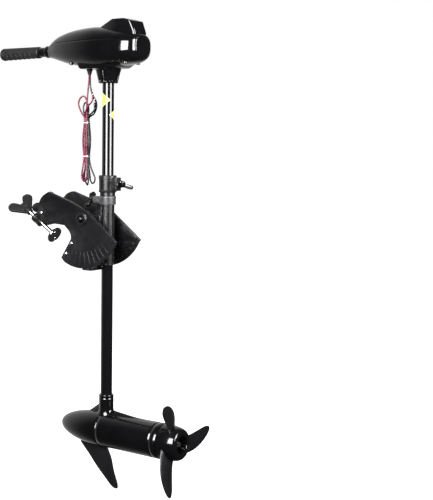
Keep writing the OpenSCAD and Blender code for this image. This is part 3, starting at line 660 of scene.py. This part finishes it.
cone = [circle(14.1, 833.2), circle(20.8, 833.0), circle(22.2, 833.4), circle(22.9, 834.4)]
cone += [cone_ring(835 + 0.8 * k) for k in range(41)] + [circle(31.4, 868), circle(14.1, 868)]
piece("head_cone", loft(cone, caps=False), "moulded_black", "head_collar", sharp=45)
gland = lathe([(0, 856), (3.9, 856), (4.4, 856.6), (4.5, 859), (5.2, 860), (5.6, 862), (6.3, 864.5), (7.2, 867),
               (8.4, 868.6), (8.4, 870), (0, 870)], 40)
grooves = [washer([(4.3 + 0.45 * k, 857.4 + 2.6 * k), (4.9 + 0.45 * k, 857.7 + 2.6 * k),
                   (4.9 + 0.45 * k, 858.7 + 2.6 * k), (4.3 + 0.45 * k, 859.0 + 2.6 * k)], 40) for k in range(4)]
piece("lead_grommet", shifted(merge(gland, *grooves), x=-58), "seal_rubber", "lead_gland")

# ---------- tiller ----------
AXIS_Z = 918


def on_tiller(shape):
    return shifted(along_x(shape), z=AXIS_Z)


piece("tiller_ring", on_tiller(merge(
    washer([(12.05, -196), (13.6, -196), (14.5, -195.5), (15, -194.4), (15, -190.6), (14.3, -190), (14.3, -188.8),
            (15, -188.2), (15, -181.6), (14.4, -180.6), (12.05, -180.6)], 96))), "moulded_black", "tiller_bush")
piece("tiller_arm", on_tiller(washer(
    [(9, -300), (11.9, -300), (11.95, -206), (11.5, -205.5), (11.5, -203.8), (11.95, -203.3), (11.95, -60), (9, -60)],
    96)), "tube_black", "tiller_tube")
GRIP = (-348, -219)


def grip_ring(x):
    from_end = x - GRIP[0]
    taper = 16 - 1.4 * from_end / 129
    if from_end < 7:
        taper -= 3.4 * (1 - from_end / 7) ** 2.2
    to_mouth = GRIP[1] - x
    if to_mouth < 3:
        taper -= 1.5 * (1 - to_mouth / 3) ** 2
    ring = []
    for i in range(96):
        a = 2 * pi * i / 96
        under = max(0.0, -cos(a))                          # 1 on the underside
        r = taper
        if 14 < from_end < 122:
            phase = ((from_end - 14) + 5.5 * (1 - under)) / 15.6
            saw = phase % 1
            cut = 2.1 * (1 - saw) ** 1.6 * min(1, saw * 9)
            ease = min(1, (from_end - 14) / 6, (122 - from_end) / 6)
            r -= cut * ease * min(1, under * 2.4) ** 1.2
        if 3 < from_end < 15:
            r -= 0.45 * (0.5 - 0.5 * cos(2 * pi * (from_end - 3) / 2.4))
        if from_end > 17:
            r -= 0.22 * max(0.0, cos(24 * a)) * min(1, (from_end - 17) / 3) * (1 if under < 0.35 else 0)
        ring.append((x, r * sin(a), AXIS_Z + r * cos(a)))
    return ring


rings = [grip_ring(GRIP[0] + 129 * k / 215) for k in range(216)]
mouth = [(GRIP[1], 12.05 * sin(2 * pi * i / 96), AXIS_Z + 12.05 * cos(2 * pi * i / 96)) for i in range(96)]
well = [(GRIP[1] - 8, y, z) for _, y, z in mouth]
nose = [[(GRIP[0] - out, y * s, AXIS_Z + (z - AXIS_Z) * s) for _, y, z in rings[0]]
        for s, out in ((0.3, 0.0), (0.36, 0.6), (0.9, 0.2))]
piece("twist_grip_sleeve", loft(nose + rings + [mouth, well]), "grip_black", "grip", sharp=50)

# ---------- the tube's two blank diamond stickers ----------
def sticker(name, azimuth, z0, half_w, half_h, radius, finish):
    cells, points, faces = 28, [], []
    for i in range(cells + 1):
        u = -1 + 2 * i / cells
        reach = half_h * (1 - abs(u)) + 0.02
        a = radians(azimuth) + u * half_w / 14
        for j in range(9):
            v = -1 + j / 4
            points.append((radius * cos(a), radius * sin(a), z0 + v * reach))
    for i in range(cells):
        for j in range(8):
            faces.append((i * 9 + j, (i + 1) * 9 + j, (i + 1) * 9 + j + 1, i * 9 + j + 1))
    return piece(name, (points, faces), finish, body="leg")


for k, (azimuth, z0) in enumerate(((-136, 793), (68, 757))):
    sticker(f"sticker_{k}_edge", azimuth, z0, 27, 20.5, 14.12, "sticker_border")
    sticker(f"sticker_{k}_face", azimuth, z0, 24, 18.2, 14.2, "sticker_yellow")

# ---------- bracket ----------
FAN, SKIRT = 110, 119                     # radii of the toothed arc and of the smooth skirt outside it
CHEEK_IN, CHEEK_OUT = 41, 47              # the cheeks' faces, from the middle
CLAMP_Y, CLAMP_Z = 44, -83.5              # the clamp screws' axes
NOTCH_STEP, NOTCH_R = 8.25, 4.8
lock_seat = (19.0, -sqrt(118 ** 2 - 19 ** 2) + 7.5)
notch_r = sqrt(lock_seat[0] ** 2 + lock_seat[1] ** 2)
notch_0 = atan2(lock_seat[1], lock_seat[0]) * 180 / pi
notches = [(notch_r * cos(radians(notch_0 + NOTCH_STEP * k)),
        notch_r * sin(radians(notch_0 + NOTCH_STEP * k))) for k in range(11)]


def outward(side, y, x=0, z=0):
    """Turns a shape's +Z to face out from one side of the bracket, at y from the middle."""
    return Matrix.Translation((x, side * y, z)) @ Matrix.Rotation(radians(-90 * side), 4, "X")


def fan_edge():
    """The toothed arc, from its aft end down to the bottom."""
    line, a = [], 8.5
    while a >= -84:
        p = (FAN * cos(radians(a)), FAN * sin(radians(a)))
        near = [n for n in notches if (p[0] - n[0]) ** 2 + (p[1] - n[1]) ** 2 < NOTCH_R ** 2]
        if near:
            n = near[0]
            centre = atan2(n[1], n[0])
            bite = [(n[0] + NOTCH_R * cos(centre + radians(t)), n[1] + NOTCH_R * sin(centre + radians(t)))
                    for t in range(88, 273, 12)]
            line += [q for q in bite if q[0] ** 2 + q[1] ** 2 < FAN ** 2]
            while (FAN * cos(radians(a)) - n[0]) ** 2 + (FAN * sin(radians(a)) - n[1]) ** 2 < NOTCH_R ** 2:
                a -= 0.1
        else:
            line.append(p)
            a -= 1.2
    return line


rest_of_outline = [(0, -60), (-5, -52), (-16, -47), (-35, -44), (-64, -60)] + arc(-92, -37, 42, -75, -235, 30) \
    + [(-49, 16), (5, 25)]
toothed = fan_edge() + [(0, 4 - FAN)] + rest_of_outline
outline = arc(0, 0, SKIRT, 8.5, -84, 48) + [(0, 4 - SKIRT)] + rest_of_outline
rim = catmull([(-116, -2.6), (-84, 6.2), (-49, 16), (-22, 21.4), (5, 25), (40, 22.8), (78, 20.2), (117.5, 17.2)], 4)
rim_low = catmull([(117.4, 12.2), (78, 15.2), (40, 17.8), (5, 20), (-22, 16.6), (-49, 11.0), (-84, 1.2),
        (-114.6, -7.4)], 4)
screw_spots = ((7, -68), (7, -98), (-113, -62))
for side, name, node_name in ((-1, "port", "port_cheek"), (1, "starboard", "starboard_cheek")):
    inner, outer = side * CHEEK_IN, side * CHEEK_OUT
    plate = prism(outline, side * 44.4, outer)
    piece(name + "_cheek_teeth", prism(toothed, inner, side * 44.6), "bracket_black", body="bracket", place=bracket,
          bevel=0.4, segments=2, sharp=30)
    piece(name + "_cheek_plate", plate, "bracket_black", node_name, place=bracket, inset=(side, 2.4, -0.9),
          bevel=0.55, segments=2, sharp=30)
    parts = [prism(rim + rim_low, outer - side * 0.5, outer + side * 3)]
    for k in range(9):                                      # stiffening ribs between the teeth
        a = radians(notch_0 + NOTCH_STEP * (k + 0.5))
        u, v = (cos(a), sin(a)), (-sin(a) * 0.8, cos(a) * 0.8)
        parts.append(prism([(u[0] * r + v[0] * s, u[1] * r + v[1] * s) for r, s in
                            ((80, -0.8), (112, -0.8), (112, 0.8), (80, 0.8))], outer - side * 1.2,
                            outer - side * 0.1))
    edge = arc(0, 0, 117.6, 7.0, -84, 44)
    parts.append(prism(edge + [(x * 0.972, z * 0.972) for x, z in edge[::-1]], outer - side * 1.2,
            outer + side * 0.6))
    # a stiffening arch round the hook's lobe and a straight rib behind the bearing edge
    for line in (arc(-92, -37, 34, -75, -228, 26), [(12, -54), (12, -62), (11, -104)]):
        wide = []
        for i, (x, z) in enumerate(line):
            j, m = min(i + 1, len(line) - 1), max(i - 1, 0)
            dx, dz = line[j][0] - line[m][0], line[j][1] - line[m][1]
            n = sqrt(dx * dx + dz * dz)
            wide.append((x - dz / n * 0.9, z + dx / n * 0.9, x + dz / n * 0.9, z - dx / n * 0.9))
        parts.append(prism([(a, b) for a, b, _, _ in wide] + [(c, d) for _, _, c, d in wide][::-1],
                           outer - side * 1.2, outer - side * 0.1))
    piece(name + "_cheek_ribs", merge(*parts), "bracket_black", body="bracket", place=bracket, bevel=0.7, segments=3,
          sharp=30)
    boss = lathe([(0, 5.6), (17, 5.6), (16.4, 6.6), (14.6, 7.2), (14.2, 8.6), (13.4, 9), (8.6, 9), (8.2, 8.2),
            (0, 8.2)], 64)
    boss = moved(boss, outward(side, CHEEK_IN))
    tube = washer([(8.05, -127), (10.4, -127), (11.5, -126), (11.5, -120), (11.0, -119.5), (11.0, -106.5),
            (11.5, -106),
                   (11.5, -100), (10.4, -99), (8.05, -99)], 56)
    tube = shifted(along_x(tube), y=side * CLAMP_Y, z=CLAMP_Z)
    web = prism([(-126, -50), (-104, -50), (-100, -80), (-126, -80)], inner, outer)
    piece(name + "_cheek_bosses", merge(boss, tube, web), "bracket_black", body="bracket", place=bracket, bevel=0.6,
          sharp=30)

bolt = lathe([(0, 0), (5.2, 0), (8.6, 0), (8.9, 0.6), (8.9, 1.4), (8.3, 2), (6.4, 2), (6.3, 3.4), (5.4, 5.0),
        (3.8, 6.0),
              (3.0, 6.1), (2.8, 4.6), (0, 4.6)], 48)
stem = lathe([(0, -100), (5, -100), (5, 0), (0, 0)], 40)
PIVOT_FACE = 50                           # where the pivot bolt's head and nut seat
piece("pivot_pin", merge(moved(merge(bolt, stem), outward(-1, PIVOT_FACE))), "dark_steel", "pivot_bolt",
      place=bracket)


def hexagon(r, z0, z1, chamfer=0.8):
    rings = []
    for z, k in ((z0, r - chamfer), (z0 + chamfer * 0.6, r), (z1 - chamfer * 0.6, r), (z1, r - chamfer)):
        ring = []
        for i in range(48):
            a = 2 * pi * i / 48
            flat = r * cos(pi / 6) / cos((a % (pi / 3)) - pi / 6)
            ring.append((min(flat, k) * cos(a), min(flat, k) * sin(a), z))
        rings.append(ring)
    return loft(rings)


nut = merge(hexagon(8.6, 0, 6.4), washer([(5, 6), (7.2, 6), (7.0, 7.6), (6.2, 8), (5, 8)], 40),
        lathe([(0, 7), (4.7, 7), (4.7, 9.4), (4.0, 10), (0, 10)], 40))
piece("pivot_lock_nut", moved(nut, outward(1, PIVOT_FACE)),
      "dark_steel", "pivot_nut", place=bracket)
heads = []
for side in (-1, 1):
    for x, z in screw_spots:
        h = merge(lathe([(0, -12), (2, -12), (2, 6), (0, 6)], 24),
                  lathe([(0, 5.2), (4.3, 5.2), (4.4, 6.2), (3.9, 7.6), (2.6, 8.4), (0.9, 8.7), (0, 8.7)], 36),
                  *cross(0.45, 2.6, 8.0, 8.75))
        heads.append(moved(h, outward(side, CHEEK_IN, x, z)))
piece("bracket_screw_heads", merge(*heads), "plated_steel", "bracket_screws", place=bracket)

# ---------- clamps ----------
def thread(x0, x1, r, pitch, depth, n=24):
    """A screw with a real helical thread along X."""
    turns = (x1 - x0) / pitch
    steps = int(turns * 4)
    rings = []
    for k in range(steps + 1):
        x = x0 + (x1 - x0) * k / steps
        ring = []
        for i in range(n):
            a = 2 * pi * i / n
            phase = ((x - x0) / pitch + i / n) % 1
            lift = 1 - abs(2 * phase - 1) * 1.6
            at = r - depth + depth * max(0, min(1, lift))
            ring.append((x, at * cos(a), at * sin(a)))
        rings.append(ring)
    return loft(rings)


def lobe(big, small, lean, spread, n_big, n_small):
    """Outline of a lobe: a big round end and a small one, each (x, y, radius)."""
    line = [(big[0] + big[2] * cos(lean + t), big[1] + big[2] * sin(lean + t))
            for t in [(-pi / 2 - spread) + (pi + 2 * spread) * i / n_big for i in range(n_big + 1)]]
    return line + [(small[0] + small[2] * cos(lean + t), small[1] + small[2] * sin(lean + t))
                   for t in [(pi / 2 + spread) + (pi - 2 * spread) * i / n_small for i in range(n_small + 1)]]


def slab(line, layers):
    """Rounded slab from an outline: a ring (x, y, height) for each (inset, height)."""
    cx = sum(p[0] for p in line) / len(line)
    cy = sum(p[1] for p in line) / len(line)
    rings = []
    for inset, height in layers:
        ring = []
        for x, y in line:
            v = Vector((x - cx, y - cy))
            v *= (v.length - inset) / v.length
            ring.append((cx + v.x, cy + v.y, height))
        rings.append(ring)
    return rings


def wing_handle(turn):
    lobes = []
    for tip in (-1, 1):
        big, small = (-185, tip * 22, 13), (-156, tip * 1.5, 10.0)
        d = Vector((big[0] - small[0], big[1] - small[1]))
        lean = atan2(d.y, d.x)
        spread = asin((big[2] - small[2]) / d.length)
        line = lobe(big, small, lean, spread, 20, 12)
        lobes.append(loft(slab(line, ((3.2, -2.1), (2.6, -3.1), (1.6, -3.5), (0.6, -3.1), (0, -2.0),
                                      (0, 2.0), (0.6, 3.1), (1.6, 3.5), (2.6, 3.1), (3.2, 2.1)))))
    hub = along_x(lathe([(0, -160), (6.0, -160), (7.6, -159.2), (8.4, -157.6), (8.5, -149), (8.0, -148.4),
            (8.0, -147.2),
                         (8.5, -146.6), (8.4, -144.8), (7.8, -144), (0, -144)], 48))
    middle = moved(lathe([(0, -3.0), (9, -3.4), (11.4, -3.3), (12.4, -2.2), (12.4, 2.2), (11.4, 3.3), (9, 3.4),
            (0, 3.0)], 40),
                   Matrix.Translation((-168, 0, 0)))
    return turned(merge(hub, middle, *lobes), turn, "X")


PAD = [(0, -61), (6.6, -61), (8.2, -60.6), (9, -59.6), (9, -57.6), (9.6, -56.8), (12, -55.6), (15, -53.2),
       (17.4, -52.4),
       (19.6, -52.2), (20.4, -51.4), (20.5, -50.2), (20.5, -48.2), (20.1, -47.3), (19.2, -47), (17.6, -47),
       (17.0, -47.6),
       (13.2, -47.6), (12.6, -47), (8.4, -47), (7.8, -47.6), (0, -47.6)]
for side, name, turn in ((-1, "port", 36), (1, "starboard", 50)):
    def on_clamp(p, s=side):
        return bracket((p[0], p[1] + s * CLAMP_Y, p[2] + CLAMP_Z))
    pad = along_x(lathe(PAD, 80))
    ribs = [turned(prism([(-56.6, 8), (-52.6, 17.2), (-51.6, 17.2), (-51.6, 8)], -0.9, 0.9), 45 + 90 * k,
            "X") for k in range(4)]
    piece(name + "_clamp_pad", merge(pad, *ribs), "plated_steel", name + "_pad", place=on_clamp, sharp=32)
    screw = merge(thread(-150, -55, 5, 2, 0.75), along_x(lathe([(0, -156), (4.2, -156), (4.2, -55), (3.4, -54), (0,
            -54)], 32)))
    piece(name + "_clamp_screw", screw, "plated_steel", name + "_screw", place=on_clamp, sharp=60)
    piece(name + "_clamp_handle", wing_handle(turn), "grip_black", name + "_handle", place=on_clamp, sharp=40)

# ---------- swivel ----------
def fluted(z0, z1, r, depth, count, n=144):
    rings = []
    for z, k in ((z0, 0), (z0 + 2.5, 0), (z0 + 3.4, 1), (z1 - 3.4, 1), (z1 - 2.5, 0), (z1, 0)):
        ring = []
        for i in range(n):
            a = 2 * pi * i / n
            rr = r - depth * k * (1 if cos(count * a) > -0.2 else 0)
            ring.append((rr * cos(a), rr * sin(a), z))
        rings.append(ring)
    return loft([circle(14.7, z0, n)] + rings + [circle(14.7, z1, n)], caps=False)


sleeve = fluted(397, 542, 17, 0.9, 10)
band = washer([(15.7, 541.8), (19.6, 541.8), (20.4, 542.6), (20.5, 543.6), (20.5, 546.4), (20.0, 546.9),
        (20.0, 556.6),
               (20.5, 557.1), (20.5, 560.2), (19.9, 561.5), (15.7, 561.5)], 96)
knob_boss = shifted(turned(lathe([(0, 0), (9.4, 0), (9.4, 20), (8.8, 21.6), (7.4, 22), (4.2, 22), (4.1, 14), (0, 14)],
        48), -90, "Y"), x=-18, z=552)
barrel = moved(lathe([(0, -40.6), (8.8, -40.6), (10, -39.4), (10, -30), (9.4, -29.4), (9.4, 29.4), (10, 30),
        (10, 39.4), (8.8, 40.6), (0, 40.6)], 56),
               Matrix.Translation((-43, 0, 507)) @ Matrix.Rotation(pi / 2, 4, "X"))
piece("swivel_tube", sleeve, "bracket_black", "swivel_sleeve", sharp=30)
# the swivel band and knob boss take the lighter grey that paints in the band's sheen
piece("swivel_band", merge(band, knob_boss), "band_painted_sheen", body="swivel", sharp=32)
webs = merge(prism([(-43, 465), (-30, 440), (-13, 425), (-13, 530), (-24, 527), (-43, 517.5)], -7, 7),
             *[block(-41, -9, y, y + 6, 498, 516) for y in (-24, 18)], block(-13, -5, -24, 24, 498, 516),
             block(-37, -14, -20, 20, 405, 421), prism([(-34, 421), (-14, 421), (-14, 485), (-20, 478), (-34, 432)],
                     -7, 7))
piece("swivel_webs", webs, "bracket_black", body="swivel", bevel=1.2, segments=3)
piece("swivel_barrel", barrel, "bracket_black", body="swivel")


def knob(x0, direction, tip_at, turn, z, stem_x):
    """A small wing screw pointing along X."""
    parts = [shifted(turned(lathe([(0, 0), (5.4, 0), (6.5, 1), (6.5, 6.6), (5.6, 8), (0, 8)], 40), 90 * direction,
            "Y"), x=x0)]
    for tip in (-1, 1):
        a, b = Vector((6, 0)), Vector((12, tip * (tip_at - 8.5)))
        lean = atan2((b - a).y, (b - a).x)
        line = lobe((b.x, b.y, 8.5), (a.x, a.y, 5.5), lean, 0, 14, 10)
        c = Vector((sum(p[0] for p in line) / len(line), sum(p[1] for p in line) / len(line)))
        rings = []
        for inset, y in ((3.0, -2.3), (2.2, -3.3), (0.9, -3.4), (0, -2.3), (0, 2.3), (0.9, 3.4), (2.2, 3.3),
                (3.0, 2.3)):
            ring = []
            for p in line:
                v = Vector(p) - c
                v *= (v.length - inset) / v.length
                ring.append((x0 + direction * (c.x + v.x), y, c.y + v.y))
            rings.append(ring)
        parts.append(loft(rings))
    low, high = sorted((stem_x, x0))
    parts.append(along_x(lathe([(0, low), (3.9, low), (3.9, high), (0, high)], 32)))
    return shifted(turned(merge(*parts), turn, "X"), z=z)


piece("tension_wing", knob(-43, -1, 24, -45, 552, -19.5), "moulded_black", "tension_screw", sharp=40)
piece("depth_wing", knob(42, 1, 26, 70, 590, 19.5), "moulded_black", "depth_screw", sharp=40)
ring_profile = [(14.05, 561.8), (17.6, 561.8), (18.5, 562.6), (18.5, 570.6), (19.2, 571), (21.0, 571.4),
        (21.5, 572.2),
                (21.5, 577), (20.9, 577.5), (20.9, 602), (21.5, 602.5), (21.5, 610.4), (20.6, 611.8), (14.05, 612)]
lug = shifted(turned(lathe([(0, 0), (10, 0), (10, 24), (9.2, 25.8), (8, 26), (4.4, 26), (4.2, 20), (0, 20)], 48), 90,
        "Y"), x=12, z=590)
piece("depth_ring", washer(ring_profile, 96), "bracket_black", "depth_collar", sharp=32)
piece("depth_ring_lug", merge(lug, block(10, 33, -10, 10, 575, 607)), "bracket_black", body="steering_collar",
      bevel=0.9,
      sharp=32)

# ---------- pod ----------
POD = 41.0


def pod_lathe(profile, n=144):
    return along_x(lathe(profile, n))


nose_profile = [(0, -135)]
for k in range(1, 49):
    a = pi / 2 * k / 48
    nose_profile.append((POD * sin(a), -11 - 124 * cos(a)))
nose_profile += [(POD, -2.3), (POD - 0.15, -2.1), (POD - 0.15, -2), (0, -2)]


def leaf(x0, chord, thick, z, n=22):
    top = [(x0 + chord * (0.5 - 0.5 * cos(pi * i / n)), thick / 2 * (sin(pi * i / n) ** 0.75 if 0 < i < n else 0.06),
            z)
           for i in range(n + 1)]
    return top + [(x, -y, z) for x, y, z in top[::-1]]


skeg_stations = [(-80, 78, 9.5, -34), (-78.5, 82, 8, -40), (-77, 84, 7, -44), (-52, 70, 6.2, -68),
        (-26, 51, 5.4, -95),
                 (0, 34, 4.4, -118), (11, 25.5, 3.8, -128), (18, 18, 3.2, -133), (24, 10, 2.4, -135.6)]
skeg_rings = [leaf(*s) for s in catmull(skeg_stations, 4)]
tip = skeg_rings[-1]
cx = sum(p[0] for p in tip) / len(tip)
skeg_rings.append([(cx + (x - cx) * 0.8, y * 0.4, z - 0.5) for x, y, z in tip])
piece("nose_shell", pod_lathe(nose_profile), "pod_paint", "nose_cone", sharp=50)
piece("skeg", loft(skeg_rings), "blade_black", body="leg", sharp=50)
housing_profile = [(0, -2), (POD - 0.15, -2), (POD - 0.15, -1.9), (POD, -1.7)]
housing_profile += [(POD, -1 + 155 * k / 24) for k in range(1, 24)]
housing_profile += [(POD, 154.1), (POD - 0.55, 154.7), (POD - 0.55, 155), (0, 155)]
piece("housing_shell", pod_lathe(housing_profile), "pod_paint", "motor_housing", sharp=50)
bell = [(0, 155), (POD - 0.55, 155), (POD - 0.55, 155.3), (POD, 155.9), (POD, 160), (POD, 171.2), (POD - 0.6, 171.9),
        (0, 172)]
piece("bell_shell", pod_lathe(bell), "pod_paint", "end_bell", sharp=50)


def surface_z(y):
    return sqrt(max(0.0, (POD - 0.3) ** 2 - y * y))


# collar that holds the tube, flaring smoothly into the housing
collar_rings = []
count = 120
flare = [(14.1, 84.2), (14.1, 85), (16.9, 85), (17.6, 84.5), (17.75, 83.6), (17.75, 79), (17.35, 78.5), (17.35, 77.4),
        (17.75, 76.9)] + \
    [(17.75, 76 - 2.4 * k) for k in range(1, 10)]
for r, z in flare:
    collar_rings.append(circle(r, z, count))
top_z = 54.0
for k in range(1, 15):
    s = pi / 2 * k / 14
    r = 17.75 + 9.5 * (1 - cos(s))
    ring = []
    for i in range(count):
        a = 2 * pi * i / count
        y_end = 27.25 * sin(a)
        z_end = surface_z(y_end)
        ring.append((r * cos(a), r * sin(a), top_z - (top_z - z_end) * sin(s)))
    collar_rings.append(ring)
collar_rings.append([(x, y, z - 1.5) for x, y, z in collar_rings[-1]])
piece("tube_collar", loft(collar_rings, caps=False), "pod_paint", body="leg", sharp=50)
# thin gusset ahead of the collar and a long spine behind it, both growing out of the housing
gusset = []
for k in range(17):
    t = k / 16
    x = -14 - 36 * t
    height = 66 - (66 - surface_z(0) + 0.8) * t ** 0.9
    width = 4.2 * (1 - 0.45 * t)
    low = 33 if x > -11 else sqrt(max(1, (POD * sqrt(max(0, 1 - ((x + 11) / 124) ** 2)) - 1.0) ** 2))
    section = []
    for i in range(21):
        u = -1 + i / 10
        foot = 1 + 1.1 * max(0, abs(u) - 0.55) / 0.45
        section.append((x, width * u * foot, low + (max(height, low + 0.4) - low) * (1 - abs(u) ** 3.2)))
    gusset.append(section)
piece("collar_gusset", loft(gusset), "pod_paint", body="leg", sharp=55)
spine = []
for k in range(41):
    t = k / 40
    x = 12 + 108 * t
    half = 15.5 * (1 - t) ** 0.85 + 1.6
    lift = 9.5 * (1 - t) ** 1.25 + 0.25
    spine.append([(x, y, surface_z(y) - 0.2 + lift * max(0.0, cos(pi / 2 * y / half)) ** 1.5)
                  for y in [half * (-1 + i / 16) for i in range(33)]])
spine_low = [[(x, y, z - 3) for x, y, z in ring[::-1]] for ring in spine]
piece("housing_spine", loft([a + b for a, b in zip(spine, spine_low)]), "pod_paint", body="leg", sharp=60)

# ---------- propeller ----------
BLADE_ROOT, BLADE_SPAN, BLADES = 33, 87, 3


def blade_ring(t, n=22):
    r = BLADE_ROOT + BLADE_SPAN * t
    chord = 48 * sqrt(max(0, 1 - t ** 3.2)) * (0.92 + 0.35 * t * (1 - t)) + 1.2
    pitch = atan2(12, r)
    thick = 5.5 * (1 - t) + 1.6 + 4.5 * exp(-(t / 0.035) ** 2)
    turn_by = radians(-26 * (1 - t) ** 1.15)
    ring = []
    for k in range(2 * n):
        i = k if k <= n else 2 * n - k
        side = -1 if k <= n else 1
        u = 0.5 - 0.5 * cos(pi * i / n)
        along = chord * (u - 0.5)
        # fuller at the leading side, thin at the trailing side
        off = side * thick / 2 * (max(0.0, sin(pi * u ** 0.8)) ** 0.7 + 0.05)
        tang = along * cos(pitch) - off * sin(pitch)
        aft = along * sin(pitch) + off * cos(pitch)
        ring.append((196 + 22 * t + aft, r * cos(turn_by) - tang * sin(turn_by),
                r * sin(turn_by) + tang * cos(turn_by)))
    return ring


stops = [k / 26 for k in range(26)] + [0.975, 0.988, 0.996, 1.0]
blade = loft([blade_ring(t) for t in stops])
hub = [(13, 174.6), (35.6, 174.6), (36, 172.8), (40.4, 172.6), (41, 173.2), (41, 178.6)]
for k in range(1, 15):
    a = pi / 2 * k / 14
    hub.append((31.5 + 9.5 * cos(a), 178.6 + 41.6 * sin(a)))
hub += [(30.6, 220.9), (29.4, 221), (22.2, 221), (21.0, 220.6), (20.5, 219.6), (20.2, 210), (19.2, 198),
        (18.5, 196.6),
        (12.4, 196.6), (12.4, 190), (13, 188)]
spokes = [turned(prism([(197, 12), (214, 12.6), (217.6, 20.6), (197, 20.6)], -0.8, 0.8), 15 + 30 * k,
        "X") for k in range(12)]
blades = [turned(blade, 7 + 360 / BLADES * k, "X") for k in range(BLADES)]
piece("propeller_hub", merge(along_x(washer(hub, 144)), *spokes), "pod_paint", "propeller", sharp=40)
piece("propeller_blades", merge(*blades), "blade_black", body="rotor", sharp=60)
core = along_x(washer([(5.1, 174.6), (13.2, 174.6), (13.2, 190), (12.6, 196.7), (5.1, 196.7)], 56))
nose_nut = merge(along_x(washer([(5, 196.7), (11, 196.7), (11, 198.4), (10.4, 198.7), (5, 198.7)], 56)),
                 along_x(shifted(hexagon(8.6, 0, 8), z=198.7)),
                 along_x(washer([(5, 206), (6.9, 206), (6.6, 209), (6.0, 209.7), (5, 209.7)], 40)))
piece("propeller_core", core, "white_nylon", body="rotor")
piece("propeller_nut", nose_nut, "plated_steel", "prop_nut")

# ---------- CAD nodes that stay ----------
for name, obj in frame["nodes"].items():
    for i, held in enumerate(obj.material_slots):
        slot_name = held.material.name.split(".")[0] if held.material else ""
        obj.material_slots[i].material = MAT.get(slot_name, MAT["bracket_black"])
